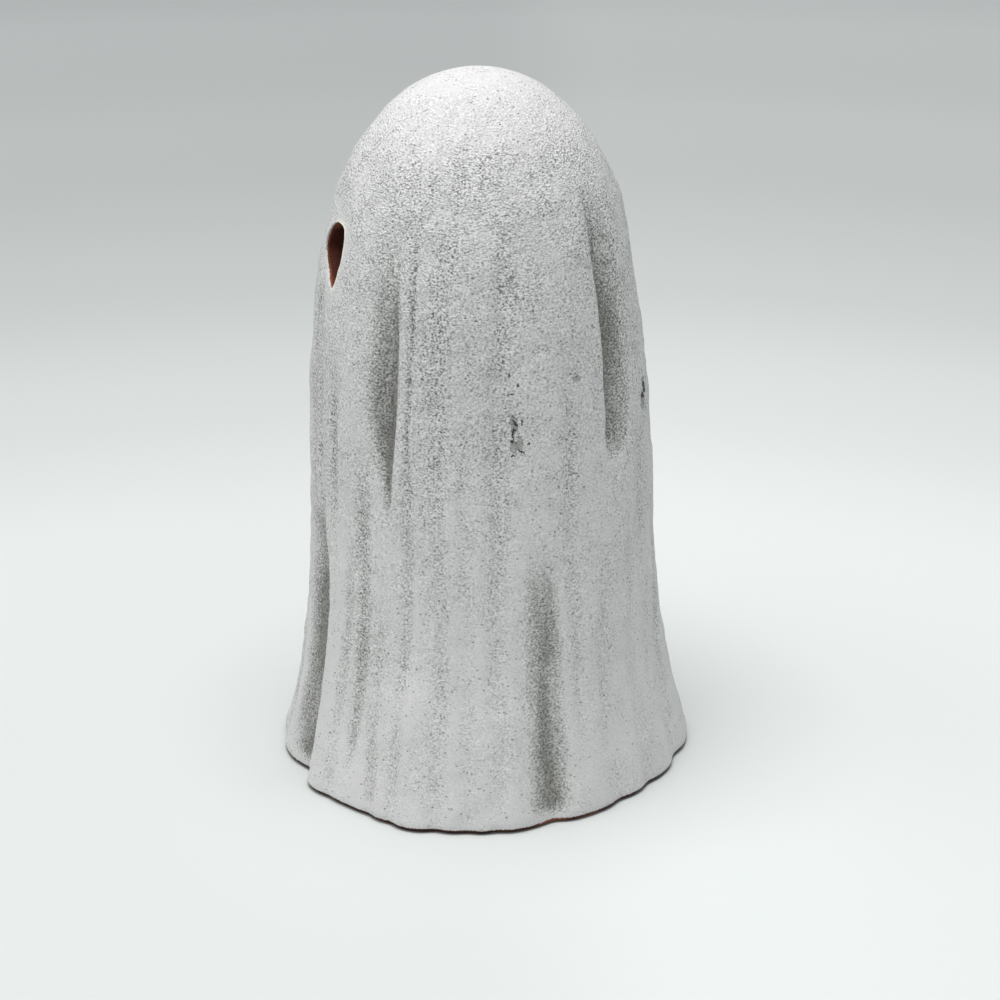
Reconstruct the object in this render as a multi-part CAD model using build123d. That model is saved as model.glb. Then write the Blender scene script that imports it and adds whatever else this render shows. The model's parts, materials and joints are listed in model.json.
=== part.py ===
from build123d import *

import math
import os
from typing import NamedTuple

# A hollow terracotta ghost in a draped sheet, standing over a loose flameless tea light.
# Millimetres, +Z up, the ghost faces -Y. The origin is on the table, in the middle of the hem's box.

# Figure: the draped shell
FIGURE_HEIGHT = 140.0
BODY_RADIUS = 33.5
CROWN_POWER = 5.7
CROWN_ROUNDNESS = 2.0
HEM_FLARE = 8.8
HEM_FLARE_HEIGHT = 25.0
HEM_FLARE_POWER = 1.13
HEM_ROUND = 1.6
HEM_ROUND_STATIONS = (0.0, 0.15, 0.5)
HEAD_LEAN = 1.5
HEAD_LEAN_HEIGHT = 87.0
WALL = 5.0
CROWN_WALL = 6.0
INNER_FOLD_SHARE = 0.5
SECTION_POINTS = 96
SECTION_STEP = 8.5
CROWN_SECTIONS = 7
CROWN_DEPTH = 32.0
CROWN_TIP_GAP = 0.3
MOUTH_CUT_OVERRUN = 2.0

# Eyes: slanted teardrop holes cut level through the wall, one each side of the front
EYE_WIDTH = 10.2
EYE_TOP_HEIGHT = 3.9
EYE_BOTTOM_HEIGHT = 8.8
EYE_CHEEK_SHARE = 0.1
EYE_SLANT = 24.0
EYE_BELOW_CROWN = 31.0
EYE_ANGLE_FROM_FRONT = 20.4
FRONT_ANGLE = -90.0


class Fold(NamedTuple):
    """A fold of the sheet that runs up the figure. A negative depth stands out as a lobe."""

    angle: float
    half_width: float
    depth: float
    bottom: float
    top: float


# Angles run from +X towards +Y. A fold that reaches the hem starts below the table.
UNDER_HEM = -40.0
FOLD_FADE = 16.0
FOLDS = (
    # pressed flutes under the head
    Fold(angle=-33.0, half_width=3.3, depth=2.1, bottom=60.0, top=117.0),
    Fold(angle=54.0, half_width=3.7, depth=2.3, bottom=63.0, top=127.0),
    Fold(angle=129.0, half_width=3.6, depth=2.2, bottom=61.0, top=124.0),
    Fold(angle=-148.0, half_width=3.3, depth=2.0, bottom=57.0, top=116.0),
    # pressed flutes that run out at the hem
    Fold(angle=-63.5, half_width=3.4, depth=2.4, bottom=UNDER_HEM, top=57.0),
    Fold(angle=19.0, half_width=3.6, depth=1.2, bottom=UNDER_HEM, top=60.0),
    Fold(angle=75.0, half_width=3.0, depth=1.2, bottom=UNDER_HEM, top=42.0),
    Fold(angle=108.0, half_width=3.4, depth=1.9, bottom=UNDER_HEM, top=55.0),
    Fold(angle=162.0, half_width=3.6, depth=2.1, bottom=UNDER_HEM, top=62.0),
    Fold(angle=-117.0, half_width=3.4, depth=2.2, bottom=UNDER_HEM, top=54.0),
    # lobes and flats of the hem between them
    Fold(angle=-20.0, half_width=7.0, depth=-2.3, bottom=UNDER_HEM, top=34.0),
    Fold(angle=-53.0, half_width=4.5, depth=-0.7, bottom=UNDER_HEM, top=34.0),
    Fold(angle=2.0, half_width=6.0, depth=-1.1, bottom=UNDER_HEM, top=34.0),
    Fold(angle=52.0, half_width=16.0, depth=1.9, bottom=UNDER_HEM, top=40.0),
    Fold(angle=134.0, half_width=9.0, depth=-1.2, bottom=UNDER_HEM, top=34.0),
    Fold(angle=-172.0, half_width=7.0, depth=-1.5, bottom=UNDER_HEM, top=34.0),
    Fold(angle=-136.0, half_width=6.0, depth=-0.8, bottom=UNDER_HEM, top=34.0),
)

# Tea light: coin cell, which sets the size of what goes round it
CELL_RADIUS = 10.0
CELL_HEIGHT = 3.2
CELL_CAP_STEP = 1.1
CELL_CAP_HEIGHT = 0.25
CELL_SIDE_CLEARANCE = 0.25
CELL_SEAT_CLEARANCE = 0.05

# Tea light: bayonet battery door
SPIGOT_MARGIN = 0.9
SPIGOT_STEP = 0.4
DOOR_CLEARANCE = 0.2
LUG_LENGTH = 2.2
LUG_THICKNESS = 0.9
LUG_CLEARANCE = 0.15
LUG_SPAN = 36.0
LUG_SIDE_CLEARANCE = 2.0
LUG_ANGLES = (100.0, 280.0)
DOOR_TURN = 50.0
COIN_SLOT_LENGTH = 13.0
COIN_SLOT_WIDTH = 1.6
COIN_SLOT_DEPTH = 0.9

# Tea light: base plate, which snaps up into the cup
PLATE_RECESS = 1.2
PLATE_THICKNESS = 1.6
PLATE_CLEARANCE = 0.08
PLATE_LEDGE = 0.4
STAKE_RADIUS = 0.7
STAKE_CLEARANCE = 0.06
STAKE_COVER = 0.6
STAKE_ANGLES = (75.0, 180.0, 285.0)

# Tea light: battery tray
TRAY_WALL = 1.55
TRAY_FLANGE_ROOF = 1.1
TRAY_ROOF_GAP = 0.6
TRAY_ROOF_THICKNESS = 1.2
TRAY_SWITCH_LIP = 0.6
TRAY_CUP_GAP = 1.4
POST_RADIUS = 4.2
POST_HEIGHT = 2.35
POST_SLOT_WIDTH = 1.2
POST_CAP_THICKNESS = 1.0
POST_CAP_STEP = 0.2

# Tea light: lamp and flame
LED_RADIUS = 2.5
LED_HEIGHT = 8.6
LED_RIM = 0.4
LED_RIM_HEIGHT = 1.0
LEG_SIZE = 0.5
LEG_SPACING = 2.54
LEG_HOLE_CLEARANCE = 0.1
FLAME_WALL = 1.35
FLAME_BULGE = 0.8
FLAME_BULGE_HEIGHT = 5.2
FLAME_HEIGHT = 22.5
FLAME_TIP_RADIUS = 0.7
FLAME_FLANGE_STEP = 1.7
FLAME_FLANGE_THICKNESS = 0.9
FLAME_FLANGE_CLEARANCE = 0.1
FLAME_BORE_CLEARANCE = 0.25
FLAME_LAMP_GAP = 1.9

# Tea light: contact strips and slide switch
STRIP = 0.25
STRIP_WIDTH = 2.6
STRIP_CLEARANCE = 0.05
STRIP_POST_GAP = 0.4
CLIP_CLEARANCE = 0.1
CLIP_ROOM = 0.8
CLIP_FOOT = 0.6
CONTACT_GAP = 1.6
SWITCH_TRAVEL = 2.5
SWITCH_KNOB_WIDTH = 2.4
SWITCH_KNOB_LENGTH = 3.6
SWITCH_KNOB_DROP = 0.8
SWITCH_FLANGE_WIDTH = 3.2
SWITCH_FLANGE_LENGTH = 5.4
SWITCH_FLANGE_HEIGHT = 1.4
SWITCH_CLEARANCE = 0.15
SWITCH_SIDE_GAP = 0.35
SWITCH_CUP_GAP = 0.57
SWITCH_RIDGE = 0.3
WIPER_LENGTH = 3.2

# Tea light: moulded cup, drawn round all of it
CUP_WALL = 1.25
CUP_DRAFT = 0.5
CUP_EDGE_ROUND = 0.5
DECK_DROP = 2.2
DECK_THICKNESS = 1.4
FLAME_HOLE_CLEARANCE = 0.2
SNAP_BEAD = 0.3
SNAP_BEAD_HEIGHT = 0.5

# Heights of the tea light's stack, up from the table
LUG_ROOM = LUG_THICKNESS + 2.0 * LUG_CLEARANCE
PLATE_TOP = PLATE_RECESS + PLATE_THICKNESS
DOOR_TOP = PLATE_TOP + LUG_ROOM
TRAY_FLANGE_TOP = DOOR_TOP + TRAY_FLANGE_ROOF
STAKE_TOP = TRAY_FLANGE_TOP - STAKE_COVER
CELL_BOTTOM = DOOR_TOP + CELL_SEAT_CLEARANCE
CELL_TOP = CELL_BOTTOM + CELL_HEIGHT
ROOF_BOTTOM = CELL_TOP + TRAY_ROOF_GAP
ROOF_TOP = ROOF_BOTTOM + TRAY_ROOF_THICKNESS
POST_CAP_BOTTOM = ROOF_TOP + POST_HEIGHT
POST_TOP = POST_CAP_BOTTOM + POST_CAP_THICKNESS
DECK_BOTTOM = POST_TOP + FLAME_FLANGE_THICKNESS + FLAME_FLANGE_CLEARANCE
DECK_TOP = DECK_BOTTOM + DECK_THICKNESS
CUP_HEIGHT = DECK_TOP + DECK_DROP
STRIP_TOP = ROOF_BOTTOM - STRIP_CLEARANCE
STRIP_BOTTOM = STRIP_TOP - STRIP
TAIL_BOTTOM = ROOF_TOP + STRIP_CLEARANCE
TAIL_TOP = TAIL_BOTTOM + STRIP
SWITCH_FLANGE_BOTTOM = PLATE_TOP + SWITCH_CLEARANCE
SWITCH_FLANGE_TOP = SWITCH_FLANGE_BOTTOM + SWITCH_FLANGE_HEIGHT

# Radii and places of the tea light, out from its middle
CELL_POCKET_RADIUS = CELL_RADIUS + CELL_SIDE_CLEARANCE
CELL_CAP_RADIUS = CELL_RADIUS - CELL_CAP_STEP
TRAY_WALL_RADIUS = CELL_POCKET_RADIUS + TRAY_WALL
SPIGOT_RADIUS = CELL_RADIUS + SPIGOT_MARGIN
DOOR_RADIUS = SPIGOT_RADIUS + SPIGOT_STEP
DOOR_BORE_RADIUS = DOOR_RADIUS + DOOR_CLEARANCE
LUG_RADIUS = SPIGOT_RADIUS + LUG_LENGTH
LUG_CHANNEL_RADIUS = LUG_RADIUS + DOOR_CLEARANCE
TRAY_SWITCH_SIDE = TRAY_WALL_RADIUS + TRAY_SWITCH_LIP
SWITCH_X = TRAY_SWITCH_SIDE + SWITCH_SIDE_GAP + SWITCH_FLANGE_WIDTH / 2
SWITCH_OFF_Y = -SWITCH_TRAVEL / 2
SWITCH_REACH = math.hypot(SWITCH_X + SWITCH_FLANGE_WIDTH / 2, (SWITCH_FLANGE_LENGTH + SWITCH_TRAVEL) / 2)
CUP_INNER_RADIUS = SWITCH_REACH + SWITCH_CUP_GAP
CUP_RIM_RADIUS = CUP_INNER_RADIUS + CUP_WALL
CUP_FOOT_RADIUS = CUP_RIM_RADIUS + CUP_DRAFT
PLATE_POCKET_RADIUS = CUP_INNER_RADIUS + PLATE_LEDGE
TRAY_FLANGE_RADIUS = CUP_INNER_RADIUS - TRAY_CUP_GAP
STAKE_CIRCLE_RADIUS = (LUG_CHANNEL_RADIUS + TRAY_FLANGE_RADIUS) / 2
LED_RIM_RADIUS = LED_RADIUS + LED_RIM
FLAME_BORE_RADIUS = LED_RIM_RADIUS + FLAME_BORE_CLEARANCE
FLAME_NECK_RADIUS = FLAME_BORE_RADIUS + FLAME_WALL
FLAME_FLANGE_RADIUS = FLAME_NECK_RADIUS + FLAME_FLANGE_STEP
POST_CAP_RADIUS = FLAME_FLANGE_RADIUS + POST_CAP_STEP
STRIP_INNER_END = POST_RADIUS + STRIP_POST_GAP
STRIP_END_X = SWITCH_X + SWITCH_KNOB_WIDTH / 2
LEG_REACH = STRIP_INNER_END + STRIP_WIDTH


def smooth_step(share):
    """0 below 0, 1 above 1 and an even curve between."""
    share = min(max(share, 0.0), 1.0)
    return share * share * (3.0 - 2.0 * share)


def crown_share(height, crown_height):
    """Radius of the draped form at a height, as a share of the body's radius."""
    rise = min(max(height, 0.0) / crown_height, 1.0)
    return (1.0 - rise**CROWN_POWER) ** (1.0 / CROWN_ROUNDNESS)


def fold_depth(angle, height, radius):
    """How far the folds draw the sheet in at one place."""
    depth = 0.0
    for fold in FOLDS:
        turn = (angle - fold.angle + 180.0) % 360.0 - 180.0
        across = math.radians(turn) * radius / fold.half_width
        lower = smooth_step((height - fold.bottom) / FOLD_FADE)
        upper = smooth_step((fold.top - height) / FOLD_FADE)
        depth += fold.depth * lower * upper * math.exp(-across * across)
    return depth


def sheet_radius(angle, height, wall=0.0, crown_wall=0.0, fold_share=1.0):
    """Distance of the sheet from the figure's middle line, or of a surface one wall inside it."""
    share = crown_share(height, FIGURE_HEIGHT - crown_wall)
    flare = HEM_FLARE * math.exp(-((max(height, 0.0) / HEM_FLARE_HEIGHT) ** HEM_FLARE_POWER))
    radius = (BODY_RADIUS - wall) * share + flare
    return radius - fold_share * share * fold_depth(angle, height, BODY_RADIUS)


def hem_rounding(height):
    """How far the hem's rounded outer edge lies inside the flare."""
    rise = min(max(height / HEM_ROUND, 0.0), 1.0)
    return HEM_ROUND * (1.0 - math.sqrt(1.0 - (1.0 - rise) ** 2))


def section_angles():
    """Angles of the points that each section's curve passes through."""
    return [360.0 * step / SECTION_POINTS for step in range(SECTION_POINTS)]


def polar(radius, angle):
    """X and Y of a point by its distance and angle from the middle."""
    return radius * math.cos(math.radians(angle)), radius * math.sin(math.radians(angle))


def hem_middle():
    """Middle of the box around the hem at its widest, which the figure is centred on."""
    hem = [polar(sheet_radius(angle, HEM_ROUND), angle) for angle in section_angles()]
    across, along = zip(*hem)
    return (min(across) + max(across)) / 2.0, (min(along) + max(along)) / 2.0


HEM_MIDDLE_X, HEM_MIDDLE_Y = hem_middle()
CROWN_START = FIGURE_HEIGHT - CROWN_DEPTH


def sheet_section(height, inset, **surface):
    """Closed curve of the sheet at one height, drawn in by inset."""
    lean = HEAD_LEAN * smooth_step(height / HEAD_LEAN_HEIGHT)
    points = []
    for angle in section_angles():
        x, y = polar(sheet_radius(angle, height, **surface) - inset, angle)
        points.append((x - HEM_MIDDLE_X, y - HEM_MIDDLE_Y - lean, height))
    stations = [step / SECTION_POINTS for step in range(SECTION_POINTS + 1)]
    return Wire([Edge.make_spline([Vector(*p) for p in points], periodic=True, parameters=stations)])


def section_heights(crown_height):
    """Heights of the sections above the hem: even up the drape, then closer towards the crown."""
    count = round((CROWN_START - HEM_ROUND) / SECTION_STEP)
    drape = [HEM_ROUND + (CROWN_START - HEM_ROUND) * step / count for step in range(count + 1)]
    top = crown_height - CROWN_TIP_GAP
    turns = [math.radians(90.0 * step / CROWN_SECTIONS) for step in range(1, CROWN_SECTIONS + 1)]
    crown = [CROWN_START + (top - CROWN_START) * math.sin(turn) for turn in turns]
    return drape + crown


def crown_point(height):
    """Tip of the crown on the leaning middle line."""
    return Vertex(-HEM_MIDDLE_X, -HEM_MIDDLE_Y - HEAD_LEAN, height)


def make_hollow():
    """The space inside the shell, run on below the table so that it cuts the foot open."""
    surface = {"wall": WALL, "crown_wall": CROWN_WALL, "fold_share": INNER_FOLD_SHARE}
    top = FIGURE_HEIGHT - CROWN_WALL
    heights = [-MOUTH_CUT_OVERRUN, *section_heights(top)]
    sections = [sheet_section(height, 0.0, **surface) for height in heights]
    return Solid.make_loft([*sections, crown_point(top)], ruled=False)


def make_eye_cutter(side):
    """A teardrop bar that runs level from inside the hollow out past the face, its tip turned outward."""
    away = Vector(*polar(1.0, FRONT_ANGLE + side * EYE_ANGLE_FROM_FRONT), 0)
    centre = Vector(-HEM_MIDDLE_X, -HEM_MIDDLE_Y - HEAD_LEAN, FIGURE_HEIGHT - EYE_BELOW_CROWN)
    face = Plane(centre, x_dir=Vector(-away.Y, away.X, 0), z_dir=away)
    half = EYE_WIDTH / 2
    upper = EllipticalCenterArc((0, 0), half, EYE_TOP_HEIGHT, 0, arc_size=180)
    cheek = -EYE_CHEEK_SHARE * EYE_BOTTOM_HEIGHT
    # a curve of five poles passes through its tip when the middle pole lies this far down
    tip = -(16.0 - 8.0 * EYE_CHEEK_SHARE) / 6.0 * EYE_BOTTOM_HEIGHT
    lower = Bezier((-half, 0), (-half, cheek), (0, tip), (half, cheek), (half, 0))
    teardrop = Rot(0, 0, side * EYE_SLANT) * make_face([upper, lower])
    return extrude(face * teardrop, amount=BODY_RADIUS + HEM_FLARE)


def make_ghost_body():
    """The fired shell: draped outside, hollow inside, open at the foot, two eye holes."""
    hem = [HEM_ROUND * share for share in HEM_ROUND_STATIONS]
    heights = hem + section_heights(FIGURE_HEIGHT)
    sections = [sheet_section(height, hem_rounding(height)) for height in heights]
    shell = Solid.make_loft([*sections, crown_point(FIGURE_HEIGHT)], ruled=False) - make_hollow()
    for side in (-1.0, 1.0):
        shell -= make_eye_cutter(side)
    return shell


def turned(points):
    """A round piece from its half outline, as (radius, height) points."""
    return revolve(Plane.XZ * make_face(Polyline(*points, close=True)), Axis.Z)


def disc(radius, bottom, top):
    """A plain round plate between two heights."""
    return Pos(0, 0, bottom) * extrude(Circle(radius), amount=top - bottom)


def block(x, y, z):
    """A box by its low and high ends along each axis."""
    low, high = Vector(x[0], y[0], z[0]), Vector(x[1], y[1], z[1])
    size = high - low
    return Pos((low + high) / 2) * Box(size.X, size.Y, size.Z)


def sector(radius, bottom, top, start, end):
    """A slice of a round plate between two angles."""
    middle = (start + end) / 2.0
    reach = radius / math.cos(math.radians(end - start) / 2.0) * 2.0
    corners = [(0, 0), polar(reach, start), polar(reach, middle), polar(reach, end)]
    wedge = Pos(0, 0, bottom) * extrude(make_face(Polyline(*corners, close=True)), amount=top - bottom)
    return disc(radius, bottom, top) & wedge


def bent_strip(points, plane, start, width):
    """A flat strip of spring metal: its thickness drawn on a plane, its width along the normal."""
    outline = plane * make_face(Polyline(*points, close=True))
    return Pos(plane.z_dir * start) * extrude(outline, amount=width)


def make_tealight_cup():
    """The outer cup, with a dished deck, a hole for the flame and a bead that holds the plate."""
    hole = FLAME_NECK_RADIUS + FLAME_HOLE_CLEARANCE
    bead_top = PLATE_RECESS
    bead_bottom = bead_top - SNAP_BEAD_HEIGHT
    cup = turned(
        [
            (CUP_FOOT_RADIUS, 0),
            (CUP_RIM_RADIUS, CUP_HEIGHT),
            (CUP_INNER_RADIUS, CUP_HEIGHT),
            (CUP_INNER_RADIUS, DECK_TOP),
            (hole, DECK_TOP),
            (hole, DECK_BOTTOM),
            (CUP_INNER_RADIUS, DECK_BOTTOM),
            (CUP_INNER_RADIUS, PLATE_TOP),
            (PLATE_POCKET_RADIUS, PLATE_TOP),
            (PLATE_POCKET_RADIUS, bead_top),
            (PLATE_POCKET_RADIUS - SNAP_BEAD, bead_top),
            (PLATE_POCKET_RADIUS, bead_bottom),
            (PLATE_POCKET_RADIUS, 0),
        ]
    )
    rim = cup.edges().filter_by(GeomType.CIRCLE).filter_by_position(Axis.Z, CUP_HEIGHT, CUP_HEIGHT)
    return fillet(rim, min(CUP_EDGE_ROUND, CUP_WALL * 0.45))


def lug_sectors(radius, bottom, top, turn, spare):
    """The two lug slices, from their closed place round to a turn, with spare degrees each side."""
    half = LUG_SPAN / 2.0 + spare
    for angle in LUG_ANGLES:
        yield sector(radius, bottom, top, angle - turn - half, angle + half)


def lug_notches(radius, bottom, top):
    """The two gaps that the lugs pass through when the door is turned to its unlocked place."""
    half = LUG_SPAN / 2.0 + LUG_SIDE_CLEARANCE
    for angle in LUG_ANGLES:
        yield sector(radius, bottom, top, angle - DOOR_TURN - half, angle - DOOR_TURN + half)


def stakes(radius, bottom, top):
    """The three round pins that locate the tray, or the holes for them."""
    for angle in STAKE_ANGLES:
        x, y = polar(STAKE_CIRCLE_RADIUS, angle)
        yield Pos(x, y, 0) * disc(radius, bottom, top)


def make_base_plate():
    """The plate that closes the cup: door bore and notches, switch slot, stake pins."""
    plate = disc(PLATE_POCKET_RADIUS - PLATE_CLEARANCE, PLATE_RECESS, PLATE_TOP)
    plate -= disc(DOOR_BORE_RADIUS, PLATE_RECESS, PLATE_TOP)
    for notch in lug_notches(LUG_CHANNEL_RADIUS, PLATE_RECESS, PLATE_TOP):
        plate -= notch
    half_slot = (SWITCH_KNOB_LENGTH + SWITCH_TRAVEL) / 2 + SWITCH_CLEARANCE
    half_width = SWITCH_KNOB_WIDTH / 2 + SWITCH_CLEARANCE
    plate -= block(
        (SWITCH_X - half_width, SWITCH_X + half_width), (-half_slot, half_slot), (PLATE_RECESS, PLATE_TOP)
    )
    for stake in stakes(STAKE_RADIUS, PLATE_TOP, STAKE_TOP):
        plate += stake
    return plate


def make_battery_door():
    """The round door: a disc with a coin slot below, a spigot under the cell and two lugs."""
    door = disc(DOOR_RADIUS, PLATE_RECESS, PLATE_TOP) + disc(SPIGOT_RADIUS, PLATE_TOP, DOOR_TOP)
    lug_bottom = PLATE_TOP + LUG_CLEARANCE
    for lug in lug_sectors(LUG_RADIUS, lug_bottom, lug_bottom + LUG_THICKNESS, 0.0, 0.0):
        door += lug
    half_length, half_width = COIN_SLOT_LENGTH / 2, COIN_SLOT_WIDTH / 2
    slot = block(
        (-half_length, half_length), (-half_width, half_width), (PLATE_RECESS, PLATE_RECESS + COIN_SLOT_DEPTH)
    )
    return door - slot


def make_coin_cell():
    """The cell: its can below, its narrower cap above."""
    shoulder = CELL_TOP - CELL_CAP_HEIGHT
    can = disc(CELL_RADIUS, CELL_BOTTOM, shoulder)
    return can + disc(CELL_CAP_RADIUS, shoulder, CELL_TOP)


def leg_centres():
    """Y of the lamp's two legs."""
    return (-LEG_SPACING / 2, LEG_SPACING / 2)


def make_battery_tray():
    """The tray: pocket for the cell, channels for the lugs, slots for the strips, post for the lamp."""
    tray = disc(TRAY_FLANGE_RADIUS, PLATE_TOP, TRAY_FLANGE_TOP)
    tray += disc(TRAY_WALL_RADIUS, TRAY_FLANGE_TOP, ROOF_TOP)
    whole = (-TRAY_FLANGE_RADIUS, TRAY_FLANGE_RADIUS)
    tray -= block((TRAY_SWITCH_SIDE, TRAY_FLANGE_RADIUS), whole, (PLATE_TOP, TRAY_FLANGE_TOP))
    tray -= disc(CELL_POCKET_RADIUS, PLATE_TOP, ROOF_BOTTOM)
    tray -= disc(SPIGOT_RADIUS + DOOR_CLEARANCE, PLATE_TOP, DOOR_TOP)
    for channel in lug_sectors(LUG_CHANNEL_RADIUS, PLATE_TOP, DOOR_TOP, DOOR_TURN, LUG_SIDE_CLEARANCE):
        tray -= channel
    for hole in stakes(STAKE_RADIUS + STAKE_CLEARANCE, PLATE_TOP, STAKE_TOP + STAKE_CLEARANCE):
        tray -= hole
    tray += disc(POST_RADIUS, ROOF_TOP, POST_CAP_BOTTOM) + disc(POST_CAP_RADIUS, POST_CAP_BOTTOM, POST_TOP)
    half_slot = POST_SLOT_WIDTH / 2
    tray -= block((-half_slot, half_slot), (-POST_RADIUS, POST_RADIUS), (ROOF_TOP, POST_CAP_BOTTOM))
    half_hole = LEG_SIZE / 2 + LEG_HOLE_CLEARANCE
    for y in leg_centres():
        tray -= block((-half_hole, half_hole), (y - half_hole, y + half_hole), (POST_CAP_BOTTOM, POST_TOP))
    half_strip = STRIP_WIDTH / 2 + CLIP_CLEARANCE
    clip_back = CELL_RADIUS + CLIP_CLEARANCE + STRIP + CLIP_ROOM
    tray -= block((-half_strip, half_strip), (-clip_back, -CELL_RADIUS), (CELL_BOTTOM, ROOF_TOP))
    window = negative_spring_span()
    tray -= block(
        (0, TRAY_WALL_RADIUS),
        (window[0] - CLIP_CLEARANCE, window[1] + CLIP_CLEARANCE),
        (STRIP_BOTTOM - CLIP_CLEARANCE, ROOF_BOTTOM),
    )
    return tray


def make_led():
    """The lamp: a rimmed cylinder with a domed top."""
    straight = POST_TOP + LED_HEIGHT - LED_RADIUS
    outline = [
        Line((0, POST_TOP), (LED_RIM_RADIUS, POST_TOP)),
        Line((LED_RIM_RADIUS, POST_TOP), (LED_RIM_RADIUS, POST_TOP + LED_RIM_HEIGHT)),
        Line((LED_RIM_RADIUS, POST_TOP + LED_RIM_HEIGHT), (LED_RADIUS, POST_TOP + LED_RIM_HEIGHT)),
        Line((LED_RADIUS, POST_TOP + LED_RIM_HEIGHT), (LED_RADIUS, straight)),
        CenterArc((0, straight), LED_RADIUS, 0, 90),
        Line((0, straight + LED_RADIUS), (0, POST_TOP)),
    ]
    return revolve(Plane.XZ * make_face(outline), Axis.Z)


def make_led_legs():
    """Two square wires: down from the lamp through the post, then out along the tray's roof."""
    half = LEG_SIZE / 2
    bottom = TAIL_TOP + STRIP_CLEARANCE
    legs = []
    for y in leg_centres():
        side = math.copysign(1.0, y)
        upright = block((-half, half), (y - half, y + half), (bottom, POST_TOP))
        ends = sorted((y - side * half, side * LEG_REACH))
        legs.append(upright + block((-half, half), tuple(ends), (bottom, bottom + LEG_SIZE)))
    return Compound(children=legs)


def make_flame_diffuser():
    """The hollow flame: a flange under the deck, a neck in its hole and a drawn-out tip."""
    flange_bottom = POST_TOP
    flange_top = flange_bottom + FLAME_FLANGE_THICKNESS
    bulge = DECK_TOP + FLAME_BULGE_HEIGHT
    tip = DECK_TOP + FLAME_HEIGHT
    bore_top = POST_TOP + LED_HEIGHT + FLAME_LAMP_GAP
    outline = [
        Polyline(
            (FLAME_BORE_RADIUS, flange_bottom),
            (FLAME_FLANGE_RADIUS, flange_bottom),
            (FLAME_FLANGE_RADIUS, flange_top),
            (FLAME_NECK_RADIUS, flange_top),
            (FLAME_NECK_RADIUS, DECK_TOP),
        ),
        Spline(
            (FLAME_NECK_RADIUS, DECK_TOP),
            (FLAME_NECK_RADIUS + FLAME_BULGE, bulge),
            (FLAME_TIP_RADIUS, tip - FLAME_TIP_RADIUS),
            tangents=[(0, 1), (-FLAME_TIP_RADIUS, FLAME_BULGE_HEIGHT)],
        ),
        Polyline(
            (FLAME_TIP_RADIUS, tip - FLAME_TIP_RADIUS),
            (FLAME_TIP_RADIUS / 2, tip),
            (0, tip),
            (0, bore_top),
            (FLAME_BORE_RADIUS, bore_top - FLAME_BORE_RADIUS),
            (FLAME_BORE_RADIUS, flange_bottom),
        ),
    ]
    return revolve(Plane.XZ * make_face(outline), Axis.Z)


def negative_spring_span():
    """Low and high Y of the strip on the cell's cap."""
    high = SWITCH_OFF_Y + WIPER_LENGTH / 2 + STRIP_CLEARANCE
    return high - STRIP_WIDTH, high


def switch_contact_span():
    """Low and high Y of the strip's end beside it, one contact gap away."""
    low = negative_spring_span()[1] + CONTACT_GAP
    return low, low + STRIP_WIDTH


def make_negative_spring():
    """A strip under the roof, its inner end sprung down on the cell's cap, its outer end at the switch."""
    low, high = negative_spring_span()
    touch = CELL_TOP + STRIP_CLEARANCE
    points = [
        (STRIP_END_X, STRIP_BOTTOM),
        (STRIP_END_X, STRIP_TOP),
        (CELL_CAP_RADIUS / 2, STRIP_TOP),
        (0, touch + STRIP),
        (-STRIP_WIDTH, touch + STRIP),
        (-STRIP_WIDTH, touch),
        (0, touch),
        (CELL_CAP_RADIUS / 2, STRIP_BOTTOM),
    ]
    return bent_strip(points, Plane.XZ, -high, high - low)


def make_positive_clip():
    """A strip up beside the cell's rim and in over the roof to one leg of the lamp."""
    face = CELL_RADIUS + CLIP_CLEARANCE
    foot = CELL_BOTTOM + CLIP_FOOT
    points = [
        (-face, foot),
        (-face - STRIP, foot),
        (-face - STRIP, TAIL_TOP),
        (-STRIP_INNER_END, TAIL_TOP),
        (-STRIP_INNER_END, TAIL_BOTTOM),
        (-face, TAIL_BOTTOM),
    ]
    return bent_strip(points, Plane.YZ, -STRIP_WIDTH / 2, STRIP_WIDTH)


def make_switch_contact():
    """A strip past the post to the lamp's other leg, with a drop and a tongue over the switch."""
    low, high = switch_contact_span()
    run_low, run_high = STRIP_INNER_END, STRIP_INNER_END + STRIP_WIDTH
    drop_near = TRAY_SWITCH_SIDE + CLIP_CLEARANCE
    drop_far = drop_near + STRIP
    run = block((-STRIP_WIDTH / 2, drop_far), (run_low, run_high), (TAIL_BOTTOM, TAIL_TOP))
    drop = block((drop_near, drop_far), (low, run_high), (STRIP_BOTTOM, TAIL_TOP))
    tongue = block((drop_near, STRIP_END_X), (low, high), (STRIP_BOTTOM, STRIP_TOP))
    return run + drop + tongue


def make_switch_slider():
    """The switch's button: a flange above the plate, a knob through its slot and a ridge for a nail."""
    def level(width, length, bottom, top):
        x = (SWITCH_X - width / 2, SWITCH_X + width / 2)
        y = (SWITCH_OFF_Y - length / 2, SWITCH_OFF_Y + length / 2)
        return block(x, y, (bottom, top))

    knob_bottom = PLATE_RECESS - SWITCH_KNOB_DROP
    slider = level(SWITCH_FLANGE_WIDTH, SWITCH_FLANGE_LENGTH, SWITCH_FLANGE_BOTTOM, SWITCH_FLANGE_TOP)
    slider += level(SWITCH_KNOB_WIDTH, SWITCH_KNOB_LENGTH, knob_bottom + SWITCH_RIDGE, SWITCH_FLANGE_BOTTOM)
    for side in (-1.0, 0.0, 1.0):
        ridge = level(SWITCH_KNOB_WIDTH, SWITCH_RIDGE * 2, knob_bottom, knob_bottom + SWITCH_RIDGE)
        slider += Pos(0, side * (SWITCH_KNOB_LENGTH / 2 - SWITCH_RIDGE), 0) * ridge
    return slider


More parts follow.
